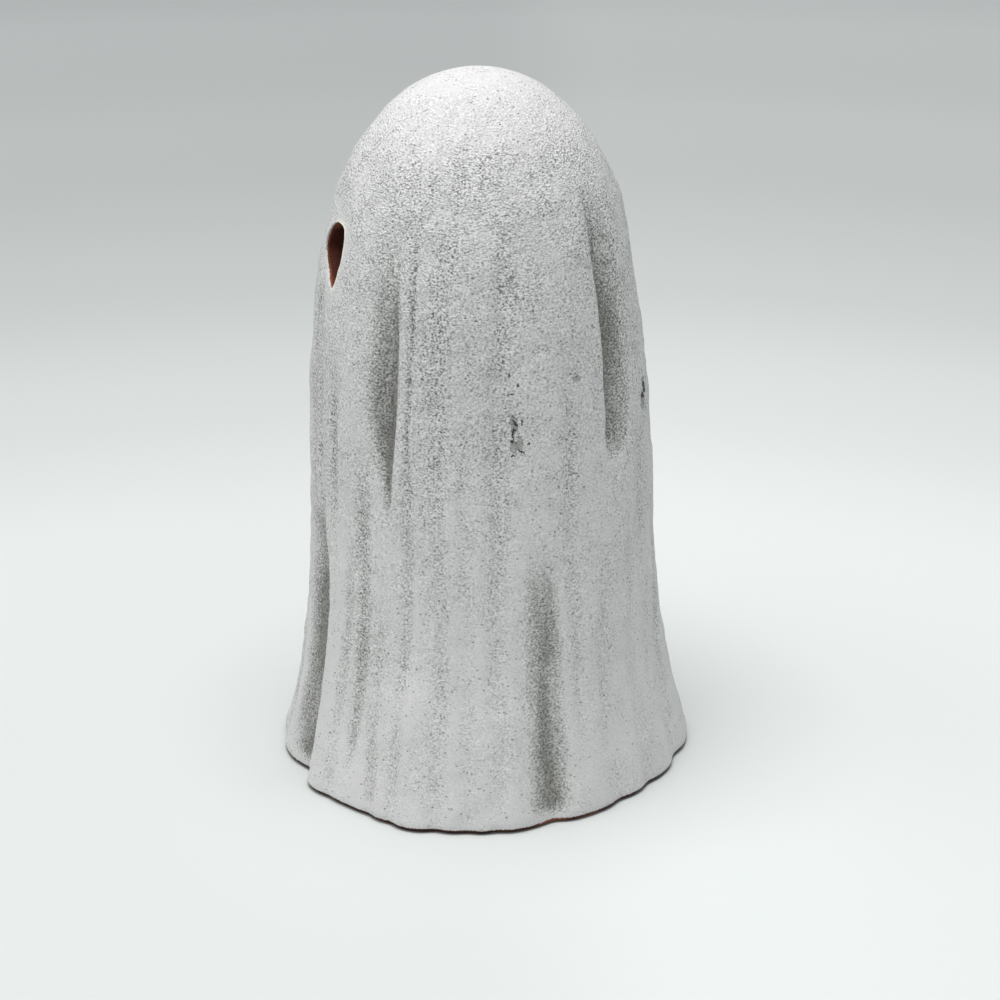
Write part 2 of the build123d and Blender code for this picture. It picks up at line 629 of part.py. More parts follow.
def make_switch_wiper():
    """A sprung metal bridge on the slider that reaches up to the two contact strips."""
    base = SWITCH_FLANGE_TOP
    crest = STRIP_BOTTOM - STRIP_CLEARANCE
    half_foot, half_crest = SWITCH_FLANGE_LENGTH / 2, WIPER_LENGTH / 2
    outer = [(-half_foot, base), (-half_foot, base + STRIP), (-half_crest, crest), (half_crest, crest)]
    inner = [(half_crest - STRIP, crest - STRIP), (half_foot - STRIP * 2, base)]
    points = [*outer, (half_foot, base + STRIP), (half_foot, base), *reversed(inner)]
    points += [(STRIP - half_crest, crest - STRIP), (STRIP * 2 - half_foot, base)]
    width = SWITCH_KNOB_WIDTH
    bridge = bent_strip(points, Plane.YZ, SWITCH_X - width / 2, width)
    return Pos(0, SWITCH_OFF_Y, 0) * bridge


PIECES = {
    "ghost_body": make_ghost_body,
    "tealight_cup": make_tealight_cup,
    "flame_diffuser": make_flame_diffuser,
    "led": make_led,
    "led_legs": make_led_legs,
    "battery_tray": make_battery_tray,
    "base_plate": make_base_plate,
    "coin_cell": make_coin_cell,
    "positive_clip": make_positive_clip,
    "negative_spring": make_negative_spring,
    "switch_contact": make_switch_contact,
    "battery_door": make_battery_door,
    "switch_slider": make_switch_slider,
    "switch_wiper": make_switch_wiper,
}

os.makedirs("parts", exist_ok=True)
for node, make in PIECES.items():
    export_step(make(), f"parts/{node}.step")
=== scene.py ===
"""The looks of a hollow clay ghost with a gritty white coat, and of the flameless tea light under it.

The file is laid out as an add-on. One operator makes the ghost's shell, one finishes the tea light's
pieces and one sets the stage. Lengths are metres where no comment says millimetres, in the frame of
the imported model: +Z is up, the ghost faces -Y and +X is its left side.
"""

import json
import math
from typing import NamedTuple

import bmesh
import bpy
import numpy as np
from bpy.props import FloatProperty, FloatVectorProperty, IntProperty, PointerProperty
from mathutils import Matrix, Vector, noise


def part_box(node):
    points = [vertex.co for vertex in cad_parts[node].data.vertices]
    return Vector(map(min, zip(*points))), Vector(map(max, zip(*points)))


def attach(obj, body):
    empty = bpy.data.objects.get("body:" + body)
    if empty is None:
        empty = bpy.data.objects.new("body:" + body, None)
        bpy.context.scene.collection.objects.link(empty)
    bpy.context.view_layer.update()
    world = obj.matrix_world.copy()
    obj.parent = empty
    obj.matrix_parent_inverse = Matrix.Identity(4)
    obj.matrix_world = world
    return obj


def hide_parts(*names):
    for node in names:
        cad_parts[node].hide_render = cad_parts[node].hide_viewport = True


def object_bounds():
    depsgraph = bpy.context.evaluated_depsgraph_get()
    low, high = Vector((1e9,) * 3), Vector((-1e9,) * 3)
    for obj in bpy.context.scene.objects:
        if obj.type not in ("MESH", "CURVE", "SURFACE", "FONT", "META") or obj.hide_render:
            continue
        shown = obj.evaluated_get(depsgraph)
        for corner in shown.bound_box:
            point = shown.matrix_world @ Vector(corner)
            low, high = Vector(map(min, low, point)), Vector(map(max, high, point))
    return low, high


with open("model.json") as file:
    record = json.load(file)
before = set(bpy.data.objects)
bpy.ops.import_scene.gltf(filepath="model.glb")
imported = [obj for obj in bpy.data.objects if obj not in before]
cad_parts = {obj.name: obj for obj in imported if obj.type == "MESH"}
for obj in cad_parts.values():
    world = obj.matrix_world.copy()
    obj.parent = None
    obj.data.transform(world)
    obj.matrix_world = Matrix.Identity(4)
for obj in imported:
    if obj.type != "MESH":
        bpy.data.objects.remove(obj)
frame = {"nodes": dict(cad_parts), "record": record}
CAD_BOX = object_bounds()

bl_info = {
    "name": "Clay Ghost",
    "version": (1, 0, 0),
    "blender": (4, 5, 0),
    "location": "3D View > Sidebar > Clay Ghost",
    "description": "Makes a hollow clay ghost with a gritty white coat over a flameless tea light",
    "category": "Object",
}

MM = 0.001
GHOST_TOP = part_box("ghost_body")[1].z

# The profile of the sheet: how square the crown is, how fast the hem's flare dies away upwards, the share
# of the height over which the lean comes in, and the steps in which the profile's length is measured
CROWN_POWER = 5.7
FLARE_POWER = 1.13
LEAN_SHARE = 0.62
PROFILE_SAMPLES = 6000

# The rings of the mesh halve their points towards the crown, where the points would crowd. The inner face
# has its own step between rings, and the foot has a few rings across it
CROWDED = 0.38 * MM
FEWEST_POINTS = 11
INNER_STEP = 1.5 * MM
FOOT_RINGS = 2

# The eyes: steps in which the points beside one are drawn onto its edge, how round its two ends are, how
# wide and high the face is pressed in around it, and the angle on either side that holds its edges
EYE_SNAPS = 6
EYE_TOP_POWER = 2.0
EYE_TIP_POWER = 1.35
HOLLOW_WIDTH = 6.0 * MM
HOLLOW_HEIGHT = 7.0 * MM
EYE_SECTOR = 0.35
# Points further round than this from an eye are given a distance that is out of its reach
EYE_SIDE = math.pi / 3
FAR_AWAY = 1.0

# Hand-made unevenness of the outer face: sizes of its ripples and lumps, how strong the small lumps are
# and all lumps at the crown, and the heights at the foot and the crown over which they come in
RIPPLE_STRETCH = np.array([1.0, 1.0, 0.09])
RIPPLE_SIZE = 4.4 * MM
LUMP_SIZE = 7.0 * MM
SMALL_LUMP_SIZE = 1.9 * MM
SMALL_LUMPS = 0.3
CROWN_LUMPS = 0.25
FOOT_CALM = 3.0 * MM
CROWN_CALM = 9.0 * MM
RIPPLE_CALM = 26.0 * MM

# How much of each fold shows on the inside of the wall
INNER_FOLD_SHARE = 0.5

# A fold with this bottom, in millimetres, runs off the hem at its full strength
UNDER_HEM = -40.0


class Flute(NamedTuple):
    """One fold of the sheet. Angles are degrees round from +X, lengths are millimetres.

    left and right are its half widths, on the sides of smaller and larger angles. A negative depth is a
    lobe that stands out. The fold dies away over foot_fade and head_fade, wash is how much grey wash
    lies in it, and taper is the share of its width that it loses towards its foot."""

    foot_angle: float
    head_angle: float
    left: float
    right: float
    depth: float
    bottom: float
    top: float
    foot_fade: float = 16.0
    head_fade: float = 16.0
    wash: float = 0.0
    taper: float = 0.55


UPPER_FLUTES = [
    Flute(-29.8, -30.4, 4.8, 1.4, 1.6, 63, 119, 14, 30, 0.72),
    Flute(-29.6, -29.3, 2.1, 0.8, 0.8, 58, 117, 14, 34, 1.0),
    Flute(49.6, 50.6, 1.2, 6.4, 1.9, 68, 127, 8, 26, 0.74, 0.15),
    Flute(49.0, 50.2, 0.8, 2.2, 0.6, 68, 124, 12, 30, 0.9),
    Flute(131, 127, 2.0, 5.2, 2.0, 61, 124, 13, 32, 0.48),
    Flute(129, 126, 1.0, 2.0, 0.6, 60, 122, 13, 32, 0.9),
    Flute(-146, -149, 4.6, 1.8, 1.8, 57, 116, 12, 34, 0.48),
    Flute(-145, -147.5, 1.8, 1.0, 0.6, 55, 114, 10, 34, 1.0),
]

HEM_FLUTES = [
    Flute(-62.4, -65.0, 6.2, 1.6, 2.3, UNDER_HEM, 60, 16, 18, 0.86),
    Flute(-61.8, -64.4, 4.4, 1.3, 0.6, UNDER_HEM, 56, 16, 16, 1.0),
    Flute(18.7, 20.7, 3.4, 3.0, 0.8, UNDER_HEM, 60, 16, 30, 0.7),
    Flute(19.2, 20.2, 1.8, 1.6, 0.5, UNDER_HEM, 52, 16, 28, 1.0),
    Flute(75, 74, 3.0, 3.0, 1.2, UNDER_HEM, 42, 16, 18, 0.16),
    Flute(108, 107, 3.6, 2.2, 1.9, UNDER_HEM, 55, 16, 16, 0.55),
    Flute(162, 163, 2.2, 4.6, 2.1, UNDER_HEM, 62, 16, 16, 0.55),
    Flute(-117, -116, 1.8, 4.8, 2.2, UNDER_HEM, 54, 16, 18, 0.55),
]

# Broad swells and hollows: those of the hem, then two that shape the outline at the back
LOBES = [
    Flute(-20, -20, 7, 7, -2.3, UNDER_HEM, 34),
    Flute(-53, -53, 4.5, 4.5, -0.7, UNDER_HEM, 34),
    Flute(2, 2, 6, 6, -1.1, UNDER_HEM, 34),
    Flute(52, 52, 16, 16, 1.9, UNDER_HEM, 40),
    Flute(134, 134, 9, 9, -1.2, UNDER_HEM, 34),
    Flute(-172, -172, 7, 7, -1.5, UNDER_HEM, 34),
    Flute(-136, -136, 6, 6, -0.8, UNDER_HEM, 34),
    Flute(90, 90, 15, 15, -0.55, 44, 88, 14, 14),
    Flute(92, 92, 14, 14, 0.6, 86, 116, 12, 14),
]

# Narrow pleats between the folds, on the side that the photo shows
PLEATS = [
    Flute(-56.4, -56.4, 1.7, 1.7, 0.5, 50, 96, 12, 22, 0.3),
    Flute(-42.0, -40.0, 1.9, 1.9, 0.7, 2, 74, 14, 20, 0.4),
    Flute(-26.0, -22.3, 1.5, 1.3, 0.6, UNDER_HEM, 80, 16, 20, 0.26),
    Flute(-23.4, -22.3, 0.7, 0.6, 0.6, 62, 122, 14, 22, 0.46),
    Flute(-13.2, -12.6, 1.9, 1.7, 0.65, UNDER_HEM, 120, 16, 24, 0.18),
    Flute(2.6, 10.0, 2.0, 2.0, 0.6, UNDER_HEM, 124, 16, 22, 0.15),
    Flute(31.0, 31.5, 1.8, 1.8, 0.45, 6, 98, 18, 24, 0.2),
    Flute(42.0, 42.5, 1.9, 1.9, 0.65, UNDER_HEM, 64, 16, 24, 0.16),
    Flute(55.3, 58.5, 1.9, 1.9, 0.6, UNDER_HEM, 58, 16, 18, 0.12),
    Flute(67.5, 68.0, 2.0, 2.0, 0.55, 10, 78, 16, 16, 0.1),
    Flute(-33.5, -35.0, 1.5, 1.5, 0.4, UNDER_HEM, 50, 16, 20, 0.32),
    Flute(-48.5, -47.5, 1.5, 1.5, 0.4, UNDER_HEM, 60, 16, 20, 0.32),
    Flute(-18.0, -17.5, 1.2, 1.2, 0.3, 20, 112, 16, 20, 0.15),
    Flute(-4.5, -4.0, 1.4, 1.4, 0.3, UNDER_HEM, 90, 16, 24, 0.15),
    Flute(-8.0, -8.0, 1.6, 1.6, 0.28, 104, 135, 14, 14, 0.12),
    Flute(2.0, 2.0, 1.6, 1.6, 0.22, 112, 137, 12, 12, 0.08),
    Flute(-27.0, -27.0, 1.6, 1.6, 0.25, 106, 132, 12, 14, 0.1),
]

# The same sort of pleat on the sides that the photo doesn't show, spread out by a seeded draw: degrees
# between which they stand, by how many each strays and leans, and the ranges of their sizes in millimetres
FAR_PLEAT_SEED = 11
FAR_PLEATS_FROM = 82.0
FAR_PLEATS_TO = 296.0
FAR_PLEAT_COUNT = 24
FAR_PLEAT_STRAY = 2.5
FAR_PLEAT_LEAN = 2.0
FAR_PLEAT_HALF_WIDTHS = (1.3, 2.0)
FAR_PLEAT_BOTTOMS = [UNDER_HEM, UNDER_HEM, 8.0, 40.0]
FAR_PLEAT_TOPS = (64.0, 124.0)
FAR_PLEAT_DEPTHS = (0.35, 0.75)
FAR_PLEAT_WASHES = (0.12, 0.33)
FAR_PLEAT_FADES = (16.0, 22.0)

# How far the middle line of each fold wanders from side to side, in degrees, over what height in
# millimetres, and how much one fold's wandering is out of step with the next
WANDER = 0.5
WANDER_HEIGHT = 8.0
WANDER_SHIFT = 5.0

# Share of a fold's height, from its bottom, over which it widens
TAPER_SHARE = 0.4


class Mark(NamedTuple):
    """A small mark in the coat: angle and lean in degrees, the rest in millimetres."""

    angle: float
    height: float
    half_width: float
    half_height: float
    lean: float = 0.0
    strength: float = 1.0


# Chips, where the coat is thin and grey: the cluster on the photo's side, then the single ones
CHIPS = [
    Mark(12.1, 80.4, 0.7, 2.2),
    Mark(12.0, 76.2, 0.8, 1.4),
    Mark(14.0, 76.7, 0.65, 1.6),
    Mark(35.3, 87.6, 0.95, 0.5),
    Mark(72.4, 77.2, 1.1, 1.7),
    Mark(73.6, 81.6, 0.9, 0.9, 0, 0.8),
    Mark(171.0, 64.0, 0.9, 1.7, 6),
    Mark(-128.0, 31.0, 1.2, 0.7, 12),
]

# Dark scratches, along the edges of the chips and by themselves
SCRATCHES = [
    Mark(12.4, 80.75, 0.22, 1.1, -35),
    Mark(11.9, 78.7, 0.24, 1.7, 10),
    Mark(14.6, 80.75, 0.2, 0.8),
    Mark(11.2, 77.2, 0.3, 0.4),
    Mark(14.3, 75.2, 0.2, 0.95, -50),
    Mark(11.3, 74.3, 0.5, 0.2),
    Mark(16.8, 76.6, 0.2, 0.3),
    Mark(10.96, 89.9, 0.24, 0.5),
    Mark(13.6, 88.0, 0.18, 0.5),
    Mark(11.5, 86.3, 0.6, 0.16),
    Mark(73.9, 80.4, 0.75, 0.9, -20),
    Mark(74.3, 79.4, 0.8, 0.9),
    Mark(72.5, 78.5, 0.9, 0.8, 30),
    Mark(171.6, 64.4, 0.3, 1.2, 6),
    Mark(-128.6, 31.0, 0.9, 0.25, 12),
]

# Bare clay where the coat is rubbed off the foot of the hem
BARE_SPOTS = [
    Mark(18.3, 0.0, 5.2, 1.5),
    Mark(30.0, 0.0, 4.0, 1.0),
    Mark(-142.0, 0.0, 6.0, 1.3),
    Mark(96.0, 0.0, 4.0, 1.1),
]

# How far in from the surface a mark reaches, in millimetres
MARK_REACH = 8.0

# The record's material slot of each piece of the tea light
TEALIGHT_SLOTS = {piece["node"]: piece["material_slot"] for piece in frame["record"]["subparts"]}
del TEALIGHT_SLOTS["ghost_body"]


def record_colour(slot):
    """The record's base colour of a material slot."""
    for material in frame["record"]["materials"]:
        if material["slot"] == slot:
            return tuple(material["base_color"])
    raise KeyError(slot)


def length_prop(name, description, default):
    return FloatProperty(
        name=name, description=description, default=default, subtype="DISTANCE", unit="LENGTH"
    )


def angle_prop(name, description, degrees):
    return FloatProperty(name=name, description=description, default=math.radians(degrees), subtype="ANGLE")


def colour_prop(name, description, default):
    return FloatVectorProperty(
        name=name, description=description, default=default, subtype="COLOR", size=3, min=0.0, max=1.0
    )


def number_prop(name, description, default):
    return FloatProperty(name=name, description=description, default=default)


class GhostForm(bpy.types.PropertyGroup):
    """Sizes of the draped clay shell"""

    height: length_prop("Height", "From the table to the crown", GHOST_TOP)
    body_radius: length_prop("Body radius", "Radius of the body above the hem", 33.5 * MM)
    hem_flare: length_prop("Hem flare", "How far the hem stands out from the body", 8.8 * MM)
    flare_height: length_prop("Flare height", "Height over which the flare dies away", 25 * MM)
    hem_round: length_prop("Hem rounding", "Radius of the hem's outer edge", 1.6 * MM)
    lean: length_prop("Head lean", "How far the head leans to the front", 1.5 * MM)
    wall: length_prop("Wall", "Thickness of the clay wall", 5 * MM)
    crown_wall: length_prop("Crown wall", "Thickness of the clay at the crown", 6 * MM)
    eye_width: length_prop("Eye width", "Greatest width of an eye hole", 10.2 * MM)
    eye_above: length_prop("Eye above", "Height of an eye above its widest place", 3.9 * MM)
    eye_below: length_prop("Eye below", "Height of an eye below its widest place", 8.8 * MM)
    eye_slant: angle_prop("Eye slant", "How far the tip of each eye is turned outward", 24.0)
    eye_drop: length_prop("Eye drop", "Distance of the eyes below the crown", 31.0 * MM)
    eye_hollow: length_prop("Eye hollow", "How far the face is pressed in around each eye", 0.5 * MM)
    eye_turn: angle_prop("Eye turn", "Angle of each eye from straight ahead", 20.4)
    points_round: IntProperty(name="Points round", description="Mesh points round the body", default=352)
    row_step: length_prop("Row step", "Distance between rows of the outer face", 0.8 * MM)
    lump_height: length_prop("Lump height", "Height of the hand-made unevenness", 0.28 * MM)
    ripple_depth: length_prop("Ripple depth", "Depth of the soft upright ripples", 0.2 * MM)


class GhostFinish(bpy.types.PropertyGroup):
    """Colours and grain of the coated clay"""

    coat: colour_prop("Coat", "Matt white coat", (0.925, 0.915, 0.905))
    pit: colour_prop("Pit", "Grey that lies in the pits of the coat", (0.3, 0.305, 0.3))
    speck: colour_prop("Speck", "Dark bottom of the deepest pits", (0.13, 0.13, 0.115))
    wash: colour_prop("Wash", "Grey wash in the folds", (0.285, 0.285, 0.255))
    scratch: colour_prop("Scratch", "Bottom of the scratches", (0.035, 0.035, 0.032))
    # Partly painted highlight: the coat's pale edge at the cut, lightened on one side of each rim where the
    # edge catches the light
    lip: colour_prop("Lip", "Pale edge of the coat round the eyes", (0.93, 0.9, 0.81))
    clay: colour_prop("Clay", "Fired terracotta", (0.26, 0.085, 0.033))
    dark_clay: colour_prop("Dark clay", "Darker patches of the terracotta", (0.12, 0.034, 0.016))
    # Painted shade: the near-black maroon that darkens the clay deep inside the eyes, where little light
    # reaches
    eye_shade_clay: colour_prop("Deep clay", "Terracotta deep in the eyes", (0.045, 0.005, 0.004))
    # Painted shadow: this near-black colour along the foot stands in for the contact shadow under the hem
    foot_contact_shadow: colour_prop("Foot clay", "Sooty terracotta along the foot", (0.02, 0.012, 0.009))
    rubbed_clay: colour_prop("Rubbed clay", "Terracotta where the hem is rubbed bare", (0.24, 0.09, 0.036))
    grain_size: length_prop("Grain size", "Size of the grains in the coat", 0.46 * MM)
    grain_depth: length_prop("Grain depth", "Height of the grains in the coat", 0.42 * MM)


class TealightFinish(bpy.types.PropertyGroup):
    """Colours of the tea light's pieces"""

    cup: colour_prop("Cup", "Moulded cup", record_colour("cup_plastic"))
    flame: colour_prop("Flame", "Frosted flame", record_colour("flame_plastic"))
    lamp: colour_prop("Lamp", "Cast resin of the lamp", record_colour("lamp_resin"))
    wire: colour_prop("Wire", "Tinned legs of the lamp", record_colour("tinned_wire"))
    tray: colour_prop("Tray", "Moulded battery tray", record_colour("tray_plastic"))
    plate: colour_prop("Plate", "Moulded base plate and door", record_colour("plate_plastic"))
    cell: colour_prop("Cell", "Steel of the coin cell", record_colour("cell_steel"))
    spring: colour_prop("Spring", "Nickel plated strips", record_colour("spring_metal"))
    switch: colour_prop("Switch", "Moulded switch button", record_colour("switch_plastic"))


class StudioSettings(bpy.types.PropertyGroup):
    """Floor, light and camera"""

    near_floor: colour_prop("Near floor", "Floor round the object", (0.795, 0.825, 0.806))
    # Painted light: the floor's colour is lifted towards +Y, where the lamps cast the object's shadow
    right_floor_painted_light: colour_prop("Right floor", "Floor towards +Y, where it is paler", (0.87, 0.905, 0.882))
    far_floor: colour_prop("Far floor", "Floor and background far away", (0.47, 0.49, 0.49))
    top_power: number_prop("Top light", "Power of the light overhead, in watts", 6.95)
    left_power: number_prop("Left light", "Power of the light at the upper left, in watts", 2.3)
    under_power: number_prop("Under light", "Power of the light below the table, in watts", 1.2)
    ambient: number_prop("Ambient", "Strength of the soft light from above", 0.28)
    camera_rise: angle_prop("Camera rise", "Angle of the camera above the table", 21.84)
    camera_distance: length_prop("Camera distance", "From the camera to its aim", 520 * MM)
    camera_lens: number_prop("Camera lens", "Focal length in millimetres", 93.27)


class Ring(NamedTuple):
    """A closed row of mesh points: its first index and its number of points."""

    first: int
    count: int


def smooth_step(value):
    value = np.clip(value, 0.0, 1.0)
    return value * value * (3.0 - 2.0 * value)


def noise_field(points, size, octaves=2):
    """Smooth noise of that size at each point, about -1 to 1."""
    return np.array([noise.fractal(Vector(point) / size, 1.0, 2.0, octaves) for point in points])


def far_pleats():
    """Pleats between the folds on the sides that the photo doesn't show."""
    draw = np.random.default_rng(FAR_PLEAT_SEED)
    pleats = []
    for spot in np.linspace(FAR_PLEATS_FROM, FAR_PLEATS_TO, FAR_PLEAT_COUNT):
        angle = spot + draw.uniform(-FAR_PLEAT_STRAY, FAR_PLEAT_STRAY)
        half_width = draw.uniform(*FAR_PLEAT_HALF_WIDTHS)
        low = draw.choice(FAR_PLEAT_BOTTOMS)
        top = draw.uniform(*FAR_PLEAT_TOPS)
        depth = draw.uniform(*FAR_PLEAT_DEPTHS)
        wash = draw.uniform(*FAR_PLEAT_WASHES)
        head = angle + draw.uniform(-FAR_PLEAT_LEAN, FAR_PLEAT_LEAN)
        pleats.append(Flute(angle, head, half_width, half_width, depth, low, top, *FAR_PLEAT_FADES, wash))
    return pleats


def flute_place(flute, degrees, height, body_radius):
    """How far across a fold each point lies, in half widths, and how strong the fold is at that height."""
    height = height / MM
    start = max(flute.bottom, 0.0)
    along = np.clip((height - start) / (flute.top - start), 0.0, 1.0)
    middle = flute.foot_angle + (flute.head_angle - flute.foot_angle) * along
    middle = middle + WANDER * np.sin(height / WANDER_HEIGHT + WANDER_SHIFT * flute.foot_angle)
    turn = (degrees - middle + 180.0) % 360.0 - 180.0
    across = np.radians(turn) * body_radius / MM
    half_width = np.where(across < 0.0, flute.left, flute.right)
    tip = smooth_step((height - flute.bottom) / (TAPER_SHARE * (flute.top - flute.bottom)))
    half_width = half_width * (1.0 - flute.taper * (1.0 - tip))
    ends = smooth_step((height - flute.bottom) / flute.foot_fade)
    ends = ends * smooth_step((flute.top - height) / flute.head_fade)
    return np.abs(across / half_width), ends


def flute_share(flute, degrees, height, body_radius):
    """How deep each point lies in a fold, from 0 to 1."""
    across, ends = flute_place(flute, degrees, height, body_radius)
    return np.exp(-(across**2)) * ends


# How much wider than its fold the wash lies, and how sharply it ends
WASH_REACH = 1.15
WASH_EDGE = 3


def wash_share(flute, degrees, height, body_radius):
    """How much wash each point of a fold holds, from 0 to 1. It lies flatter than the fold itself."""
    across, ends = flute_place(flute, degrees, height, body_radius)
    return np.exp(-((across / WASH_REACH) ** WASH_EDGE)) * np.sqrt(ends)


class ShellShape:
    """Where the outer and inner faces of the draped shell lie."""

    def __init__(self, form):
        self.form = form
        self.folds = UPPER_FLUTES + HEM_FLUTES + LOBES
        self.pleats = PLEATS + far_pleats()
        self.eye_height = form.height - form.eye_drop
        front = math.radians(-90.0)
        self.eyes = [(front + side * form.eye_turn, side) for side in (-1.0, 1.0)]
        self.shift = np.zeros(2)
        hem_angles = np.radians(np.arange(0.0, 360.0, 0.5))
        hem = self.outer_points(hem_angles, np.full_like(hem_angles, form.hem_round))
        self.shift = (hem[:, :2].min(axis=0) + hem[:, :2].max(axis=0)) / 2.0

    def mean_radius(self, height, inner=False):
        """Radius without folds."""
        form = self.form
        top = form.height - form.crown_wall if inner else form.height
        body = form.body_radius - form.wall if inner else form.body_radius
        rise = np.clip(height / top, 0.0, 1.0)
        share = np.sqrt(1.0 - rise**CROWN_POWER)
        flare = form.hem_flare * np.exp(-((height / form.flare_height) ** FLARE_POWER))
        fade = np.where(rise < 1.0, 1.0, 0.0)
        return body * share + flare * fade, share

    def depth_of(self, flutes, degrees, height):
        """How far these folds press the sheet in."""
        depth = np.zeros_like(height)
        for flute in flutes:
            depth += flute.depth * MM * flute_share(flute, degrees, height, self.form.body_radius)
        return depth

    def placed(self, angles, height, radius):
        lean = self.form.lean * smooth_step(height / (LEAN_SHARE * self.form.height))
        x = radius * np.cos(angles) - self.shift[0]
        y = radius * np.sin(angles) - self.shift[1] - lean
        return np.column_stack([x, y, height])

    def hem_inset(self, height):
        """How far the rounded lower edge stands back."""
        size = self.form.hem_round
        below = np.clip(1.0 - height / size, 0.0, 1.0)
        return size * (1.0 - np.sqrt(1.0 - below**2))

    def outer_points(self, angles, height):
        radius, share = self.mean_radius(height)
        degrees = np.degrees(angles)
        depth = self.depth_of(self.folds, degrees, height) + self.depth_of(self.pleats, degrees, height)
        return self.placed(angles, height, radius - share * depth - self.hem_inset(height))

    def inner_points(self, angles, height):
        radius, share = self.mean_radius(height, inner=True)
        depth = INNER_FOLD_SHARE * self.depth_of(self.folds, np.degrees(angles), height)
        return self.placed(angles, height, radius - share * depth)

    def outward(self, angles, height):
        """Directions square to the outer face, folds left out."""
        step = 0.02 * MM
        above, _ = self.mean_radius(np.minimum(height + step, self.form.height))
        below, _ = self.mean_radius(np.maximum(height - step, 0.0))
        slope = (above - below) / (2.0 * step)
        size = np.sqrt(1.0 + slope**2)
        return np.column_stack([np.cos(angles) / size, np.sin(angles) / size, -slope / size])

    def row_heights(self, step, inner=False):
        """Heights of rows that are evenly spaced along the profile, from the foot towards the crown."""
        top = self.form.height - (self.form.crown_wall if inner else 0.0)
        height = top * np.sin(np.linspace(0.0, math.pi / 2, PROFILE_SAMPLES))
        radius, _ = self.mean_radius(height, inner)
        if not inner:
            radius = radius - self.hem_inset(height)
        radius[-1] = 0.0
        along = np.concatenate([[0.0], np.cumsum(np.hypot(np.diff(radius), np.diff(height)))])
        rows = int(round(along[-1] / step))
        return np.interp(np.linspace(0.0, along[-1], rows + 1)[:-1], along, height)

    def eye_axes(self, across, up, side):
        """Distances across and along the slanted axis of an eye."""
        turn = side * self.form.eye_slant
        wide = across * math.cos(turn) + up * math.sin(turn)
        high = up * math.cos(turn) - across * math.sin(turn)
        return wide, high

    def eye_metric(self, across, up, side):
        """Below 1 inside an eye: a slanted teardrop whose lower half runs to a blunt point."""
        wide, high = self.eye_axes(across, up, side)
        tall = np.where(high > 0.0, self.form.eye_above, self.form.eye_below)
        power = np.where(high > 0.0, EYE_TOP_POWER, EYE_TIP_POWER)
        wide = (np.abs(wide) / (self.form.eye_width / 2.0)) ** power
        high = (np.abs(high) / tall) ** power
        return (wide + high) ** (1.0 / power)

    def onto_eye(self, across, up, side):
        """Moves points beside an eye squarely onto its edge."""
        step = 0.01 * MM
        for _ in range(EYE_SNAPS):
            miss = self.eye_metric(across, up, side) - 1.0
            wider = self.eye_metric(across + step, up, side) - self.eye_metric(across - step, up, side)
            higher = self.eye_metric(across, up + step, side) - self.eye_metric(across, up - step, side)
            move = 2.0 * step * miss / (wider**2 + higher**2)
            across = across - move * wider
            up = up - move * higher
        return across, up

    def eye_place(self, angles, height, eye_angle, inner=False):
        """Distances of points across and up from the middle of an eye, on the unrolled wall."""
        radius, _ = self.mean_radius(height, inner)
        turn = (angles - eye_angle + math.pi) % (2.0 * math.pi) - math.pi
        near = np.abs(turn) < EYE_SIDE
        across = np.where(near, radius * np.sin(turn), FAR_AWAY)
        return across, height - self.eye_height

    def around_eyes(self, angles, height):
        """1 at the middle of each eye, dying away softly round it."""
        share = np.zeros_like(height)
        for eye_angle, _ in self.eyes:
            across, up = self.eye_place(angles, height, eye_angle)
            share += np.exp(-((across / HOLLOW_WIDTH) ** 2) - (up / HOLLOW_HEIGHT) ** 2)
        return share

    def mark_place(self, mark):
        """The point of the outer face under the middle of a mark."""
        angle = np.radians(np.array([mark.angle]))
        return self.outer_points(angle, np.array([mark.height * MM]))[0]


def make_rings(shape, heights, inner, first):
    """Rings of points for one face: angles, heights and the list of rings."""
    count = shape.form.points_round // (2 if inner else 1)
    angles, levels, rings = [], [], []
    for height in heights:
        radius, _ = shape.mean_radius(np.array([height]), inner)
        while 2.0 * math.pi * radius[0] / count < CROWDED and count > FEWEST_POINTS:
            count //= 2
        angles.append(2.0 * math.pi * np.arange(count) / count)
        levels.append(np.full(count, height))
        rings.append(Ring(first, count))
        first += count
    return np.concatenate(angles), np.concatenate(levels), rings


def ring_faces(low, high):
    """Faces between two rings, where one may have half as many points as the other."""
    faces = []
    if low.count == high.count:
        for i in range(low.count):
            j = (i + 1) % low.count
            faces.append((low.first + i, low.first + j, high.first + j, high.first + i))
        return faces
    many, few = (low, high) if low.count > high.count else (high, low)
    for i in range(few.count):
        j = (i + 1) % few.count
        left, middle, right = (many.first + (2 * i + k) % many.count for k in range(3))
        faces.append((left, middle, few.first + i))
        faces.append((middle, few.first + j, few.first + i))
        faces.append((middle, right, few.first + j))
    return faces


def pole_faces(ring, pole):
    return [(ring.first + i, ring.first + (i + 1) % ring.count, pole) for i in range(ring.count)]


